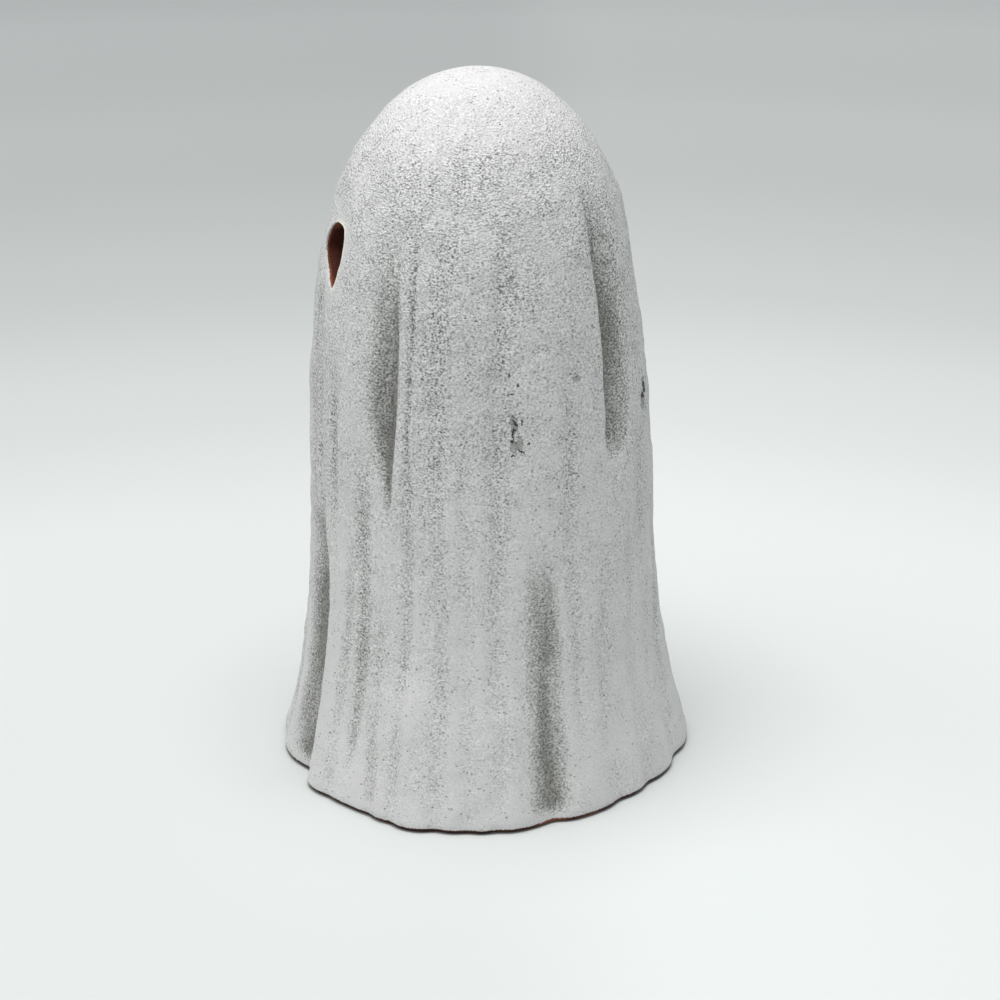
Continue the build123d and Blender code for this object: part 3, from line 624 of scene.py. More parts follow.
def open_eyes(shape, angles, heights, faces, inner):
    """Leaves out the faces inside the eyes and draws the points beside them onto the eyes' edges."""
    corners = [np.array(face) for face in faces]
    keep = np.ones(len(faces), bool)
    for eye_angle, side in shape.eyes:
        across, up = shape.eye_place(angles, heights, eye_angle, inner)
        near = np.abs(across) < 2.0 * shape.form.eye_width
        near &= np.abs(up) < 2.0 * shape.form.eye_width
        inside = np.zeros(len(faces), bool)
        for number, face in enumerate(corners):
            if near[face].all():
                inside[number] = shape.eye_metric(across[face].mean(), up[face].mean(), side) < 1.0
        keep &= ~inside
        used = np.zeros(len(angles), bool)
        used[np.concatenate([face for face, out in zip(corners, inside) if not out])] = True
        rim = np.zeros(len(angles), bool)
        rim[np.concatenate([face for face, out in zip(corners, inside) if out])] = True
        rim &= used
        edge_across, edge_up = shape.onto_eye(across[rim], up[rim], side)
        heights[rim] = shape.eye_height + edge_up
        radius, _ = shape.mean_radius(heights[rim], inner)
        angles[rim] = eye_angle + np.arcsin(edge_across / radius)
    return [face for face, kept in zip(faces, keep) if kept]


def boundary_loops(mesh):
    """The open edges of a mesh, grouped into closed loops."""
    waiting = {edge for edge in mesh.edges if edge.is_boundary}
    loops = []
    while waiting:
        group = [waiting.pop()]
        for edge in group:
            for vert in edge.verts:
                for other in vert.link_edges:
                    if other in waiting:
                        waiting.remove(other)
                        group.append(other)
        loops.append(group)
    return loops


# Depth of each ring of an eye's cut face below the rim and how much narrower it is, in millimetres, and how
# bare its clay is. A bareness above 1 paints shade onto the clay deeper in the eye
EYE_RINGS = [(0.12, 0.02, 0.0), (0.25, 0.04, 0.5), (0.5, 0.06, 1.7), (1.0, 0.05, 2.3), (1.5, 0.02, 2.6)]
# Width and height of the cut face's roughness
CUT_ROUGH_SIZE = 1.6 * MM
CUT_ROUGHNESS = 0.06 * MM
# Beyond this bareness the clay of a cut face is darkened with painted shade, most beside the eye's middle
# and less above and below it
DEEP_FROM = 0.9
DEEP_MIDDLE = 0.6
DEEP_LOSS_ABOVE = 3.0
DEEP_LOSS_BELOW = 1.2
DEEP_LEAST = -0.8


def turn_from(ahead, point):
    """How far round from a level direction a point lies."""
    side = Vector((-ahead.y, ahead.x, 0.0))
    return math.atan2(point.dot(side), point.dot(ahead))


def painted_eye_shade(rise):
    """How much painted shade darkens a cut face's clay. rise is the height above the eye's middle, by
    eye_below.
    """
    loss = DEEP_LOSS_ABOVE * max(rise, 0.0) - DEEP_LOSS_BELOW * min(rise, 0.0)
    return max(DEEP_LEAST, DEEP_MIDDLE - loss)


def line_eyes(shape, mesh, outer_verts):
    """Joins the outer and inner edges of each eye with the cut face of the wall."""
    bare = mesh.verts.layers.float["clay"]
    wash = mesh.verts.layers.float["wash"]
    lip = mesh.verts.layers.float["lip"]
    loops = boundary_loops(mesh)
    for eye_angle, _ in shape.eyes:
        away = Vector((math.cos(eye_angle), math.sin(eye_angle), 0.0))
        mine = [loop for loop in loops if abs(turn_from(away, loop[0].verts[0].co)) < EYE_SECTOR]
        outer = next(loop for loop in mine if loop[0].verts[0] in outer_verts)
        inner = next(loop for loop in mine if loop[0].verts[0] not in outer_verts)
        edges = outer
        for edge in outer:
            edge.smooth = False
        centre = sum((edge.verts[0].co for edge in outer), Vector()) / len(outer)
        for depth, inset, clay in EYE_RINGS:
            made = bmesh.ops.extrude_edge_only(mesh, edges=edges)["geom"]
            edges = [item for item in made if isinstance(item, bmesh.types.BMEdge)]
            for vert in [item for item in made if isinstance(item, bmesh.types.BMVert)]:
                out = vert.co - centre
                out -= out.dot(away) * away
                rough = noise.noise(vert.co / CUT_ROUGH_SIZE) * CUT_ROUGHNESS * clay
                vert.co -= away * depth * MM + out.normalized() * (inset * MM + rough)
                rise = (vert.co.z - centre.z) / shape.form.eye_below
                # Bareness above DEEP_FROM paints shade onto the cut face
                vert[bare] = clay + max(0.0, clay - DEEP_FROM) * painted_eye_shade(rise)
                vert[wash] = 0.0
                # The lip's painted highlight runs onto the cut face only where its clay is not bare
                vert[lip] = vert[lip] * max(0.0, 1.0 - clay)
        bmesh.ops.bridge_loops(mesh, edges=edges + inner)


# The grit of the coat by height in millimetres: faint at the hem and the crown, strong below the crown
GRIT_HEIGHTS = (0.0, 14.0, 40.0, 70.0, 90.0, 112.0, 126.0, 134.0, 140.0)
GRIT_LEVELS = (0.2, 0.26, 0.44, 0.76, 0.98, 1.12, 1.06, 0.66, 0.36)
MOST_GRIT = 1.3
# Sizes of its clumps and clouds, how much these and the ripples change it, its share on flat ground and
# what a pleat adds, and the depth of a pleat that adds all of that
GRIT_CLUMP = 3.0 * MM
GRIT_CLOUD = 9.0 * MM
CLUMP_CHANGE = 0.5
CLOUD_CHANGE = 0.16
RIPPLE_CHANGE = 0.18
FLAT_GRIT = 0.62
PLEAT_GRIT = 0.7
GRITTY_PLEAT = 0.6 * MM

# The wash: its upright patches and how much they change it, and how it comes in above the foot
PATCH_STRETCH = np.array([1.0, 1.0, 0.35])
PATCH_SIZE = 6.0 * MM
PATCH_LEVEL = 0.85
PATCH_CHANGE = 0.3
WASH_FROM = 0.5 * MM
WASH_FADE = 4.5 * MM

# The smear of wash below each eye, and how little grit is left beside the eye, which leaves the coat there
# paler and smoother, partly as painted highlight round the rim
SMEAR_INWARD = 2.0 * MM
SMEAR_WIDTH = 2.0 * MM
SMEAR_DROP = 11.0 * MM
SMEAR_HEIGHT = 5.0 * MM
SMEAR_WASH = 0.45
GRIT_AT_EYE = 0.3
# Points this near to an eye's edge, as a share of the eye's size, are its rim, which gets the pale lip and
# its painted highlight on one side
ON_RIM = 0.01


def coat_shares(shape, points, angles, heights, ripple):
    """The wash, the grit, and the pale lip of the eyes with its painted highlight, at each point of the
    outer face.

    The wash and the lip go from 0 to 1, and the grit from 0 to MOST_GRIT."""
    degrees = np.degrees(angles)
    body_radius = shape.form.body_radius
    wash = np.zeros_like(heights)
    for flute in UPPER_FLUTES + HEM_FLUTES + shape.pleats:
        wash = np.maximum(wash, flute.wash * wash_share(flute, degrees, heights, body_radius))
    patchy = PATCH_LEVEL + PATCH_CHANGE * noise_field(points * PATCH_STRETCH, PATCH_SIZE)
    wash = np.clip(wash * patchy, 0.0, 1.0) * smooth_step((heights - WASH_FROM) / WASH_FADE)
    lip = np.zeros_like(heights)
    highlight_smoothing = np.ones_like(heights)
    for eye_angle, side in shape.eyes:
        across, up = shape.eye_place(angles, heights, eye_angle)
        smear = ((across * side + SMEAR_INWARD) / SMEAR_WIDTH) ** 2 + ((up + SMEAR_DROP) / SMEAR_HEIGHT) ** 2
        wash = np.maximum(wash, SMEAR_WASH * np.exp(-smear))
        metric = shape.eye_metric(across, up, side)
        wide, _ = shape.eye_axes(across, up, side)
        # Painted highlight: a pale lip on one side of each eye's rim, where the edge catches the light
        lip = np.maximum(lip, (np.abs(metric - 1.0) < ON_RIM) & (wide * side > 0.0))
        # Less grit beside the eye leaves the coat paler and smoother there, partly painted highlight
        highlight_smoothing = np.minimum(highlight_smoothing, GRIT_AT_EYE + (1.0 - GRIT_AT_EYE) * smooth_step(metric - 1.0))
    valley = np.clip(shape.depth_of(shape.pleats, degrees, heights) / GRITTY_PLEAT, 0.0, 1.0)
    grit = np.interp(heights / MM, GRIT_HEIGHTS, GRIT_LEVELS)
    clumps = 1.0 + CLUMP_CHANGE * noise_field(points, GRIT_CLUMP)
    clouds = CLOUD_CHANGE * noise_field(points, GRIT_CLOUD)
    grit = grit * clumps * (FLAT_GRIT + PLEAT_GRIT * valley) + RIPPLE_CHANGE * ripple + clouds
    return wash, np.clip(grit * highlight_smoothing, 0.0, MOST_GRIT), lip


def uneven(shape, points, angles, heights, ripple):
    """How far each point of the outer face stands out in lumps, or in at ripples and round the eyes."""
    form = shape.form
    from_crown = form.height - heights
    lumps = noise_field(points, LUMP_SIZE) + SMALL_LUMPS * noise_field(points, SMALL_LUMP_SIZE)
    above_foot = smooth_step(heights / FOOT_CALM)
    even_crown = CROWN_LUMPS + (1.0 - CROWN_LUMPS) * smooth_step(from_crown / CROWN_CALM)
    relief = form.lump_height * lumps * above_foot * even_crown
    relief = relief - form.ripple_depth * ripple * smooth_step(from_crown / RIPPLE_CALM) * above_foot
    return relief - form.eye_hollow * shape.around_eyes(angles, heights)


def pole_point(points, ring, top):
    """The point that closes a face, over the middle of its last ring."""
    middle = points[ring.first : ring.first + ring.count].mean(axis=0)
    return middle[0], middle[1], top


def make_shell(shape):
    """One closed mesh of the ghost: inner face, foot, outer face and the cut faces of the eyes."""
    form = shape.form
    inner_heights = shape.row_heights(INNER_STEP, inner=True)
    inner_angles, inner_levels, inner_rings = make_rings(shape, inner_heights, True, 0)
    outer_heights = shape.row_heights(form.row_step)
    outer_angles, outer_levels, outer_rings = make_rings(shape, outer_heights, False, 0)

    inner_faces = [face for pair in zip(inner_rings, inner_rings[1:]) for face in ring_faces(*pair)]
    outer_faces = [face for pair in zip(outer_rings, outer_rings[1:]) for face in ring_faces(*pair)]
    inner_faces = open_eyes(shape, inner_angles, inner_levels, inner_faces, inner=True)
    outer_faces = open_eyes(shape, outer_angles, outer_levels, outer_faces, inner=False)

    inner = shape.inner_points(inner_angles, inner_levels)
    outer = shape.outer_points(outer_angles, outer_levels)
    ripple = noise_field(outer * RIPPLE_STRETCH, RIPPLE_SIZE)
    wash, grit, lip = coat_shares(shape, outer, outer_angles, outer_levels, ripple)
    relief = uneven(shape, outer, outer_angles, outer_levels, ripple)
    outer = outer + relief[:, None] * shape.outward(outer_angles, outer_levels)

    count = form.points_round
    edge = shape.inner_points(outer_angles[:count], outer_levels[:count])
    foot = []
    for number in range(1, FOOT_RINGS + 1):
        part = number / (FOOT_RINGS + 1)
        foot.append(edge * (1.0 - part) + outer[:count] * part)
    last = outer_rings[-1]
    inner_pole = pole_point(inner, inner_rings[-1], form.height - form.crown_wall)
    outer_pole = pole_point(outer, last, form.height)
    points = np.vstack([inner, *foot, outer, inner_pole, outer_pole])
    first_foot = len(inner)
    first_outer = first_foot + FOOT_RINGS * count
    first_pole = first_outer + len(outer)

    faces = inner_faces + pole_faces(inner_rings[-1], first_pole)
    foot_rings = [inner_rings[0]]
    foot_rings += [Ring(first_foot + number * count, count) for number in range(FOOT_RINGS)]
    foot_rings += [Ring(first_outer, count)]
    for pair in zip(foot_rings, foot_rings[1:]):
        faces += ring_faces(*pair)
    faces += [tuple(first_outer + corner for corner in face) for face in outer_faces]
    faces += pole_faces(Ring(first_outer + last.first, last.count), first_pole + 1)

    data = bpy.data.meshes.new("ghost_shell")
    data.from_pydata(points.tolist(), [], faces)
    # Each value inside and at the foot, on the outer face and at the crown
    layers = {
        "clay": (1.0, np.zeros_like(wash), 0.0),
        "wash": (0.0, wash, 0.0),
        "grit": (1.0, grit, GRIT_LEVELS[-1]),
        "lip": (0.0, lip, 0.0),
    }
    for name, (within, values, at_crown) in layers.items():
        layer = data.attributes.new(name, "FLOAT", "POINT")
        values = np.concatenate([np.full(first_outer, within), values, [within, at_crown]])
        layer.data.foreach_set("value", values)

    mesh = bmesh.new()
    mesh.from_mesh(data)
    mesh.verts.ensure_lookup_table()
    outer_verts = {mesh.verts[number] for number in range(first_outer, first_pole)}
    loose = [vert for vert in mesh.verts if not vert.link_faces]
    outer_verts -= set(loose)
    bmesh.ops.delete(mesh, geom=loose, context="VERTS")
    line_eyes(shape, mesh, outer_verts)
    bmesh.ops.recalc_face_normals(mesh, faces=mesh.faces)
    mesh.to_mesh(data)
    mesh.free()
    data.shade_smooth()
    return data


class Nodes:
    """A node tree whose nodes are added one by one."""

    def __init__(self, tree):
        self.tree = tree

    def add(self, kind, inputs=None, **settings):
        node = self.tree.nodes.new(kind)
        for name, value in settings.items():
            setattr(node, name, value)
        for name, value in (inputs or {}).items():
            self.put(node.inputs[name], value)
        return node

    def put(self, socket, value):
        if isinstance(value, bpy.types.NodeSocket):
            self.tree.links.new(value, socket)
        elif socket.type == "RGBA":
            socket.default_value = (*value[:3], 1.0)
        else:
            socket.default_value = value

    def place(self, stretch=(1.0, 1.0, 1.0)):
        """Position on the object, stretched."""
        spot = self.add("ShaderNodeTexCoord").outputs["Object"]
        return self.add("ShaderNodeMapping", {"Vector": spot, "Scale": stretch}).outputs["Vector"]

    def value_of(self, name):
        return self.add("ShaderNodeAttribute", attribute_name=name).outputs["Fac"]

    def grain(self, spot, size, detail=2.0, roughness=0.5, distortion=0.0):
        inputs = {"Vector": spot, "Scale": 1.0 / size, "Detail": detail}
        inputs.update({"Roughness": roughness, "Distortion": distortion})
        return self.add("ShaderNodeTexNoise", inputs).outputs["Fac"]

    def maths(self, operation, *values):
        node = self.add("ShaderNodeMath", operation=operation)
        for number, value in enumerate(values):
            self.put(node.inputs[number], value)
        return node.outputs["Value"]

    def vectors(self, operation, inputs, output="Vector"):
        return self.add("ShaderNodeVectorMath", inputs, operation=operation).outputs[output]

    def part_of(self, vector, axis):
        return self.add("ShaderNodeSeparateXYZ", {"Vector": vector}).outputs[axis]

    def ramp(self, value, low, high, start=0.0, end=1.0):
        """Runs smoothly from start to end while the value goes from low to high."""
        inputs = {"Value": value, "From Min": low, "From Max": high, "To Min": start, "To Max": end}
        return self.add("ShaderNodeMapRange", inputs, interpolation_type="SMOOTHSTEP").outputs["Result"]

    def blend(self, share, first, second):
        node = self.add("ShaderNodeMix", data_type="RGBA")
        for number, value in ((0, share), (6, first), (7, second)):
            self.put(node.inputs[number], value)
        return node.outputs[2]


class Finish(Nodes):
    """A material with its nodes."""

    def __init__(self, name):
        self.material = bpy.data.materials.new(name)
        self.material.use_nodes = True
        super().__init__(self.material.node_tree)
        self.surface = self.tree.nodes["Principled BSDF"]

    def set(self, **inputs):
        for name, value in inputs.items():
            self.put(self.surface.inputs[name.replace("_", " ")], value)

    def bump(self, height, distance, strength=1.0):
        node = self.add("ShaderNodeBump", {"Height": height, "Distance": distance, "Strength": strength})
        self.put(self.surface.inputs["Normal"], node.outputs["Normal"])


def warped(made, spot, size, reach):
    """Places shifted by up to about that reach, so that what is drawn with them has ragged edges."""
    inputs = {"Vector": spot, "Scale": 1.0 / size, "Detail": 1.5}
    colour = made.add("ShaderNodeTexNoise", inputs).outputs["Color"]
    shift = made.vectors("SUBTRACT", {0: colour, 1: (0.5, 0.5, 0.5)})
    shift = made.vectors("SCALE", {0: shift, "Scale": 2.0 * reach})
    return made.vectors("ADD", {0: spot, 1: shift})


def mark_field(made, spot, shape, marks):
    """1 in the middle of the marks, 0 at their edges and below 0 beyond."""
    field = -1.0
    for mark in marks:
        inputs = {
            "Vector": spot,
            "Location": shape.mark_place(mark),
            "Rotation": (math.radians(-mark.lean), 0.0, math.radians(mark.angle)),
            "Scale": (MARK_REACH * MM, mark.half_width * MM, mark.half_height * MM),
        }
        near = made.add("ShaderNodeMapping", inputs, vector_type="TEXTURE").outputs["Vector"]
        far = made.vectors("LENGTH", {0: near}, "Value")
        share = made.maths("SUBTRACT", mark.strength, far)
        field = made.maths("MAXIMUM", field, share)
    return field


# Texture sizes of the coat and the clay. A stretch below 1 draws the texture out upwards
GRAIN_STRETCH = (1.0, 1.0, 1.35)
FINE_SHARE = 0.45
CLOUD_STRETCH = (1.0, 1.0, 0.45)
CLOUD_SIZE = 9 * MM
PIT_SPACING = 1.0 * MM
RAGGED_SIZE = 0.7 * MM
RAGGED_REACH = 0.5 * MM
CLAY_PATCH = 4 * MM
# Colour of the pale grains in the clay
CLAY_GRAIN = (0.5, 0.33, 0.22)

# Heights between which the coat begins, the painted contact shadow along the foot comes in and the rubbed
# clay comes in
COAT_BEGINS = (0.65 * MM, 1.35 * MM)
FOOT_SHADOW_RISES = (0.02 * MM, 0.3 * MM)
RUBBED_BEGINS = (0.1 * MM, 0.5 * MM)


def coated_clay(finish, shape):
    """Gritty matt coat with grey in its pits and folds, over terracotta where the coat is missing, with
    painted shade in the eyes, along the foot and round the chips, and a painted highlight on the eyes' rims.
    """
    made = Finish("gritty_coat_on_terracotta")
    size = finish.grain_size
    spot = made.place(GRAIN_STRETCH)
    plain = made.place()
    grain = made.grain(spot, size, 1.2, 0.45, 0.3)
    fine = made.grain(plain, size * FINE_SHARE, 2.0, 0.5)
    cloud = made.grain(made.place(CLOUD_STRETCH), CLOUD_SIZE, 3.0, 0.6)
    rise = made.maths("SUBTRACT", grain, 0.5)

    # The white coat, grey in its pits where it is gritty
    grit = made.value_of("grit")
    level = made.maths("MULTIPLY_ADD", grit, -0.13, 0.79)
    tone = made.maths("MULTIPLY_ADD", made.maths("MULTIPLY", rise, 3.3), grit, level)
    coat = made.blend(made.ramp(cloud, 0.35, 0.68), [0.94 * part for part in finish.coat], finish.coat)
    coat = made.blend(tone, finish.pit, coat)
    edge = made.maths("MULTIPLY_ADD", grit, 0.06, 0.27)
    speck = made.ramp(made.maths("SUBTRACT", edge, grain), 0.0, 0.05, 0.0, 0.7)
    coat = made.blend(speck, coat, finish.speck)

    # Grey wash in the folds, thickest between the grains
    wash = made.value_of("wash")
    thick = made.maths("MULTIPLY_ADD", rise, -0.8, wash)
    thick = made.maths("MULTIPLY_ADD", made.maths("SUBTRACT", 0.5, fine), 0.4, thick)
    washed = made.ramp(thick, 0.05, 0.8)
    washed = made.maths("MULTIPLY", washed, made.ramp(wash, 0.02, 0.3))
    grey = made.blend(made.ramp(grain, 0.3, 0.66), finish.speck, finish.wash)
    coat = made.blend(made.maths("MULTIPLY", washed, 0.92), coat, grey)

    # Single deeper pits, in about half of the cells
    cells = made.add("ShaderNodeTexVoronoi", {"Vector": spot, "Scale": 1.0 / PIT_SPACING})
    chance = made.add("ShaderNodeSeparateColor", {"Color": cells.outputs["Color"]}).outputs["Red"]
    reach = made.ramp(chance, 0.0, 0.5, 0.26, 0.0)
    pits = made.ramp(made.maths("SUBTRACT", reach, cells.outputs["Distance"]), 0.0, 0.1)
    coat = made.blend(made.maths("MULTIPLY", pits, 0.55), coat, finish.speck)

    # Chips with broken edges and painted shade along them, scratches, and the pale lip of the eyes, partly
    # painted highlight
    ragged = warped(made, plain, RAGGED_SIZE, RAGGED_REACH)
    chips = mark_field(made, ragged, shape, CHIPS)
    chipped = made.ramp(chips, 0.05, 0.3)
    coat = made.blend(made.maths("MULTIPLY", chipped, 0.55), coat, grey)
    # Painted shade: a dark ragged band round each chip stands in for the shadow of its broken edge
    chip_edge_shade = made.maths("MULTIPLY", made.ramp(chips, 0.0, 0.12), made.ramp(chips, 0.16, 0.34, 1.0, 0.0))
    chip_edge_shade = made.maths("MULTIPLY", chip_edge_shade, made.ramp(fine, 0.42, 0.58, 0.0, 0.8))
    coat = made.blend(chip_edge_shade, coat, finish.speck)
    scratched = made.ramp(mark_field(made, ragged, shape, SCRATCHES), 0.0, 0.35)
    coat = made.blend(made.maths("MULTIPLY", scratched, 0.92), coat, finish.scratch)
    # Partly painted highlight: the pale lip on one side of each eye's rim
    coat = made.blend(made.ramp(made.value_of("lip"), 0.1, 0.6), coat, finish.lip)

    # Bare clay: inside, in the eyes, along the foot and where the hem is rubbed, with painted shade deep in
    # the eyes and a painted contact shadow along the foot
    patches = made.grain(plain, CLAY_PATCH, 4.0, 0.6)
    clay = made.blend(made.ramp(patches, 0.35, 0.65), finish.dark_clay, finish.clay)
    clay = made.blend(made.ramp(fine, 0.62, 0.72, 0.0, 0.15), clay, CLAY_GRAIN)
    uncoated = made.value_of("clay")
    # Painted shade: the clay deep in the eyes darkens towards near black
    clay = made.blend(made.ramp(uncoated, 1.0, 2.0, 0.0, 0.8), clay, finish.eye_shade_clay)
    height = made.part_of(plain, "Z")
    sole = made.ramp(height, *COAT_BEGINS, 1.0, 0.0)
    spots = made.ramp(mark_field(made, plain, shape, BARE_SPOTS), 0.0, 0.5)
    # Painted contact shadow: the band along the foot is darkened to near black
    foot_shadow = made.maths("MULTIPLY", sole, made.ramp(height, *FOOT_SHADOW_RISES, 0.0, 0.92))
    clay = made.blend(foot_shadow, clay, finish.foot_contact_shadow)
    rubbed = made.maths("MULTIPLY", spots, made.ramp(height, *RUBBED_BEGINS))
    clay = made.blend(rubbed, clay, finish.rubbed_clay)
    bare = made.maths("MAXIMUM", made.maths("MAXIMUM", sole, spots), uncoated)
    bare = made.ramp(made.maths("MULTIPLY_ADD", rise, 1.1, bare), 0.38, 0.6)

    made.set(Base_Color=made.blend(bare, coat, clay))
    made.set(Roughness=made.ramp(fine, 0.3, 0.7, 0.72, 0.92))
    made.set(Specular_IOR_Level=0.3)
    relief = made.maths("MULTIPLY", grain, made.ramp(grit, 0.0, 1.0, 0.2, 1.3))
    relief = made.maths("MULTIPLY_ADD", fine, 0.2, relief)
    relief = made.maths("MULTIPLY_ADD", pits, -0.5, relief)
    relief = made.maths("MULTIPLY_ADD", made.maths("MAXIMUM", chipped, scratched), -0.6, relief)
    made.bump(relief, finish.grain_depth)
    return made.material


# Texture sizes of the tea light's plastics and metals, the pale tip of its flame, and how far light spreads
# in the flame, for red, green and blue
SPARK_SIZE = 0.22 * MM
SPARK_DEPTH = 0.012 * MM
PLASTIC_CLOUD = 6 * MM
FROST_SIZE = 0.3 * MM
FROST_DEPTH = 0.02 * MM
HAZE_SIZE = 1.2 * MM
TARNISH_SIZE = 3 * MM
LINE_DEPTH = 0.008 * MM
FLAME_TIP = (0.95, 0.82, 0.58)
FLAME_SCATTER = 2.5 * MM
FLAME_SCATTER_COLOURS = (1.0, 0.6, 0.3)


def moulded_plastic(name, colour, roughness=0.45, speck=0.06):
    """Satin moulded plastic with a fine spark texture and slightly uneven colour."""
    made = Finish(name)
    spot = made.place()
    spark = made.grain(spot, SPARK_SIZE, 2.0, 0.6)
    cloud = made.grain(spot, PLASTIC_CLOUD, 3.0, 0.55)
    dull = [part * (1.0 - speck) for part in colour]
    made.set(Base_Color=made.blend(made.ramp(cloud, 0.35, 0.65), dull, colour))
    made.set(Roughness=made.ramp(spark, 0.3, 0.7, roughness - 0.08, roughness + 0.12))
    made.bump(spark, SPARK_DEPTH)
    return made.material


def frosted_flame(name, colour):
    """Frosted translucent plastic, deeper in colour towards the wick."""
    made = Finish(name)
    low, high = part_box("flame_diffuser")
    spot = made.place()
    rise = made.ramp(made.part_of(spot, "Z"), low.z, high.z)
    frost = made.grain(spot, FROST_SIZE, 2.0, 0.6)
    deep = (colour[0], colour[1] * 0.8, colour[2] * 0.6)
    made.set(Base_Color=made.blend(rise, deep, FLAME_TIP))
    made.set(Roughness=made.ramp(frost, 0.3, 0.7, 0.38, 0.55))
    made.set(Subsurface_Weight=0.7, Subsurface_Scale=FLAME_SCATTER)
    made.set(Subsurface_Radius=FLAME_SCATTER_COLOURS, Transmission_Weight=0.25, IOR=1.46)
    made.bump(frost, FROST_DEPTH)
    return made.material


def cast_resin(name, colour):
    """Clear cast resin of a lamp, with a faint haze."""
    made = Finish(name)
    haze = made.grain(made.place(), HAZE_SIZE, 3.0, 0.6)
    made.set(Base_Color=made.blend(haze, colour, [min(1.0, part * 1.15) for part in colour]))
    made.set(Roughness=made.ramp(haze, 0.3, 0.7, 0.05, 0.16))
    made.set(Transmission_Weight=0.85, IOR=1.53)
    return made.material


def worked_metal(name, colour, stretch, line_size, roughness):
    """Rolled or drawn metal with fine lines along its working direction."""
    made = Finish(name)
    lines = made.grain(made.place(stretch), line_size, 3.0, 0.6)
    tarnish = made.grain(made.place(), TARNISH_SIZE, 3.0, 0.6)
    dull = [part * 0.78 for part in colour]
    made.set(Base_Color=made.blend(made.ramp(tarnish, 0.4, 0.72), colour, dull))
    made.set(Metallic=1.0)
    made.set(Roughness=made.ramp(lines, 0.3, 0.7, roughness - 0.1, roughness + 0.12))
    made.bump(lines, LINE_DEPTH)
    return made.material


def tealight_materials(finish):
    """One material for each slot of the tea light."""
    return {
        "cup_plastic": moulded_plastic("ivory_cup_plastic", finish.cup, 0.42),
        "flame_plastic": frosted_flame("frosted_flame_plastic", finish.flame),
        "lamp_resin": cast_resin("clear_lamp_resin", finish.lamp),
        "tinned_wire": worked_metal("tinned_lamp_wire", finish.wire, (1.0, 1.0, 0.1), 0.1 * MM, 0.3),
        "tray_plastic": moulded_plastic("tray_plastic", finish.tray, 0.5),
        "plate_plastic": moulded_plastic("plate_plastic", finish.plate, 0.48),
        "cell_steel": worked_metal("coin_cell_steel", finish.cell, (1.0, 0.08, 1.0), 0.12 * MM, 0.32),
        "spring_metal": worked_metal("nickel_strip", finish.spring, (0.08, 1.0, 1.0), 0.1 * MM, 0.28),
        "switch_plastic": moulded_plastic("dark_switch_plastic", finish.switch, 0.55, 0.2),
    }


class CLAYGHOST_OT_shell(bpy.types.Operator):
    """Make the ghost's coated clay shell in place of its plain solid"""

    bl_idname = "clay_ghost.shell"
    bl_label = "Ghost Shell"

    def execute(self, context):
        shape = ShellShape(context.scene.ghost_form)
        data = make_shell(shape)
        shell = bpy.data.objects.new("ghost_shell", data)
        context.scene.collection.objects.link(shell)
        data.materials.append(coated_clay(context.scene.ghost_finish, shape))
        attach(shell, "ghost")
        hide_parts("ghost_body")
        return {"FINISHED"}


class CLAYGHOST_OT_tealight(bpy.types.Operator):
    """Give each piece of the tea light its finish"""

    bl_idname = "clay_ghost.tealight"
    bl_label = "Tea Light Finishes"

    def execute(self, context):
        materials = tealight_materials(context.scene.tealight_finish)
        for name, slot in TEALIGHT_SLOTS.items():
            piece = frame["nodes"][name]
            for place in piece.material_slots:
                place.material = materials[slot]
        return {"FINISHED"}


# Stage sizes in metres
FLOOR_SIZE = 40.0
FLOOR_FADE_CENTRE = (0.12, 0.0)
FLOOR_REACH = 1.0
# Over this stretch of Y the floor turns paler, painted light that lifts the shadow the lamps cast towards +Y
FLOOR_PAINTED_LIGHT = (-0.01, 0.05)
# Over this distance the floor turns into the plain background
FLOOR_FADE = (0.93, 1.7)
# Painted shade of the floor by its distance from FLOOR_FADE_CENTRE: it stands in for the falloff of light
# across the table, with painted light where it rises again far away
FLOOR_PAINTED_FALLOFF = [
    (0.0, 0.96),
    (0.14, 0.95),
    (0.24, 1.0),
    (0.34, 0.91),
    (0.45, 0.81),
    (0.56, 0.79),
    (0.7, 0.87),
    (0.92, 1.02),
]
# Between these distances from the axis, inside the ghost's foot, the hole for the lamp below ends
LAMP_HOLE = (0.029, 0.031)
# What the camera looks at, and the width of its sensor in millimetres
CAMERA_AIM = Vector((0.04, 2.89, 52.53)) * MM
SENSOR_WIDTH = 36.0
# Colour of the soft light from above, and the heights of the directions between which it begins
SKY_COLOUR = (0.93, 0.96, 1.0)
HORIZON = (-0.02, 0.02)


class Lamp(NamedTuple):
    """A round lamp that shines at the middle of the object. power is the name of the studio's setting."""

    name: str
    place: tuple
    width: float
    power: str


LAMPS = [
    Lamp("top_light", (0.06, -0.045, 0.95), 0.7, "top_power"),
    Lamp("left_light", (0.35, -0.6, 0.75), 1.3, "left_power"),
    Lamp("under_light", (0.0, 0.0, -0.5), 0.06, "under_power"),
]
LAMP_AIM = Vector((0.0, 0.0, (CAD_BOX[0].z + CAD_BOX[1].z) / 2.0))


def seen_directly(made):
    """1 for what the camera sees, also in reflections and through clear pieces, and 0 for light."""
    path = made.add("ShaderNodeLightPath").outputs
    seen = made.maths("MAXIMUM", path["Is Camera Ray"], path["Is Glossy Ray"])
    return made.maths("MAXIMUM", seen, path["Is Transmission Ray"])


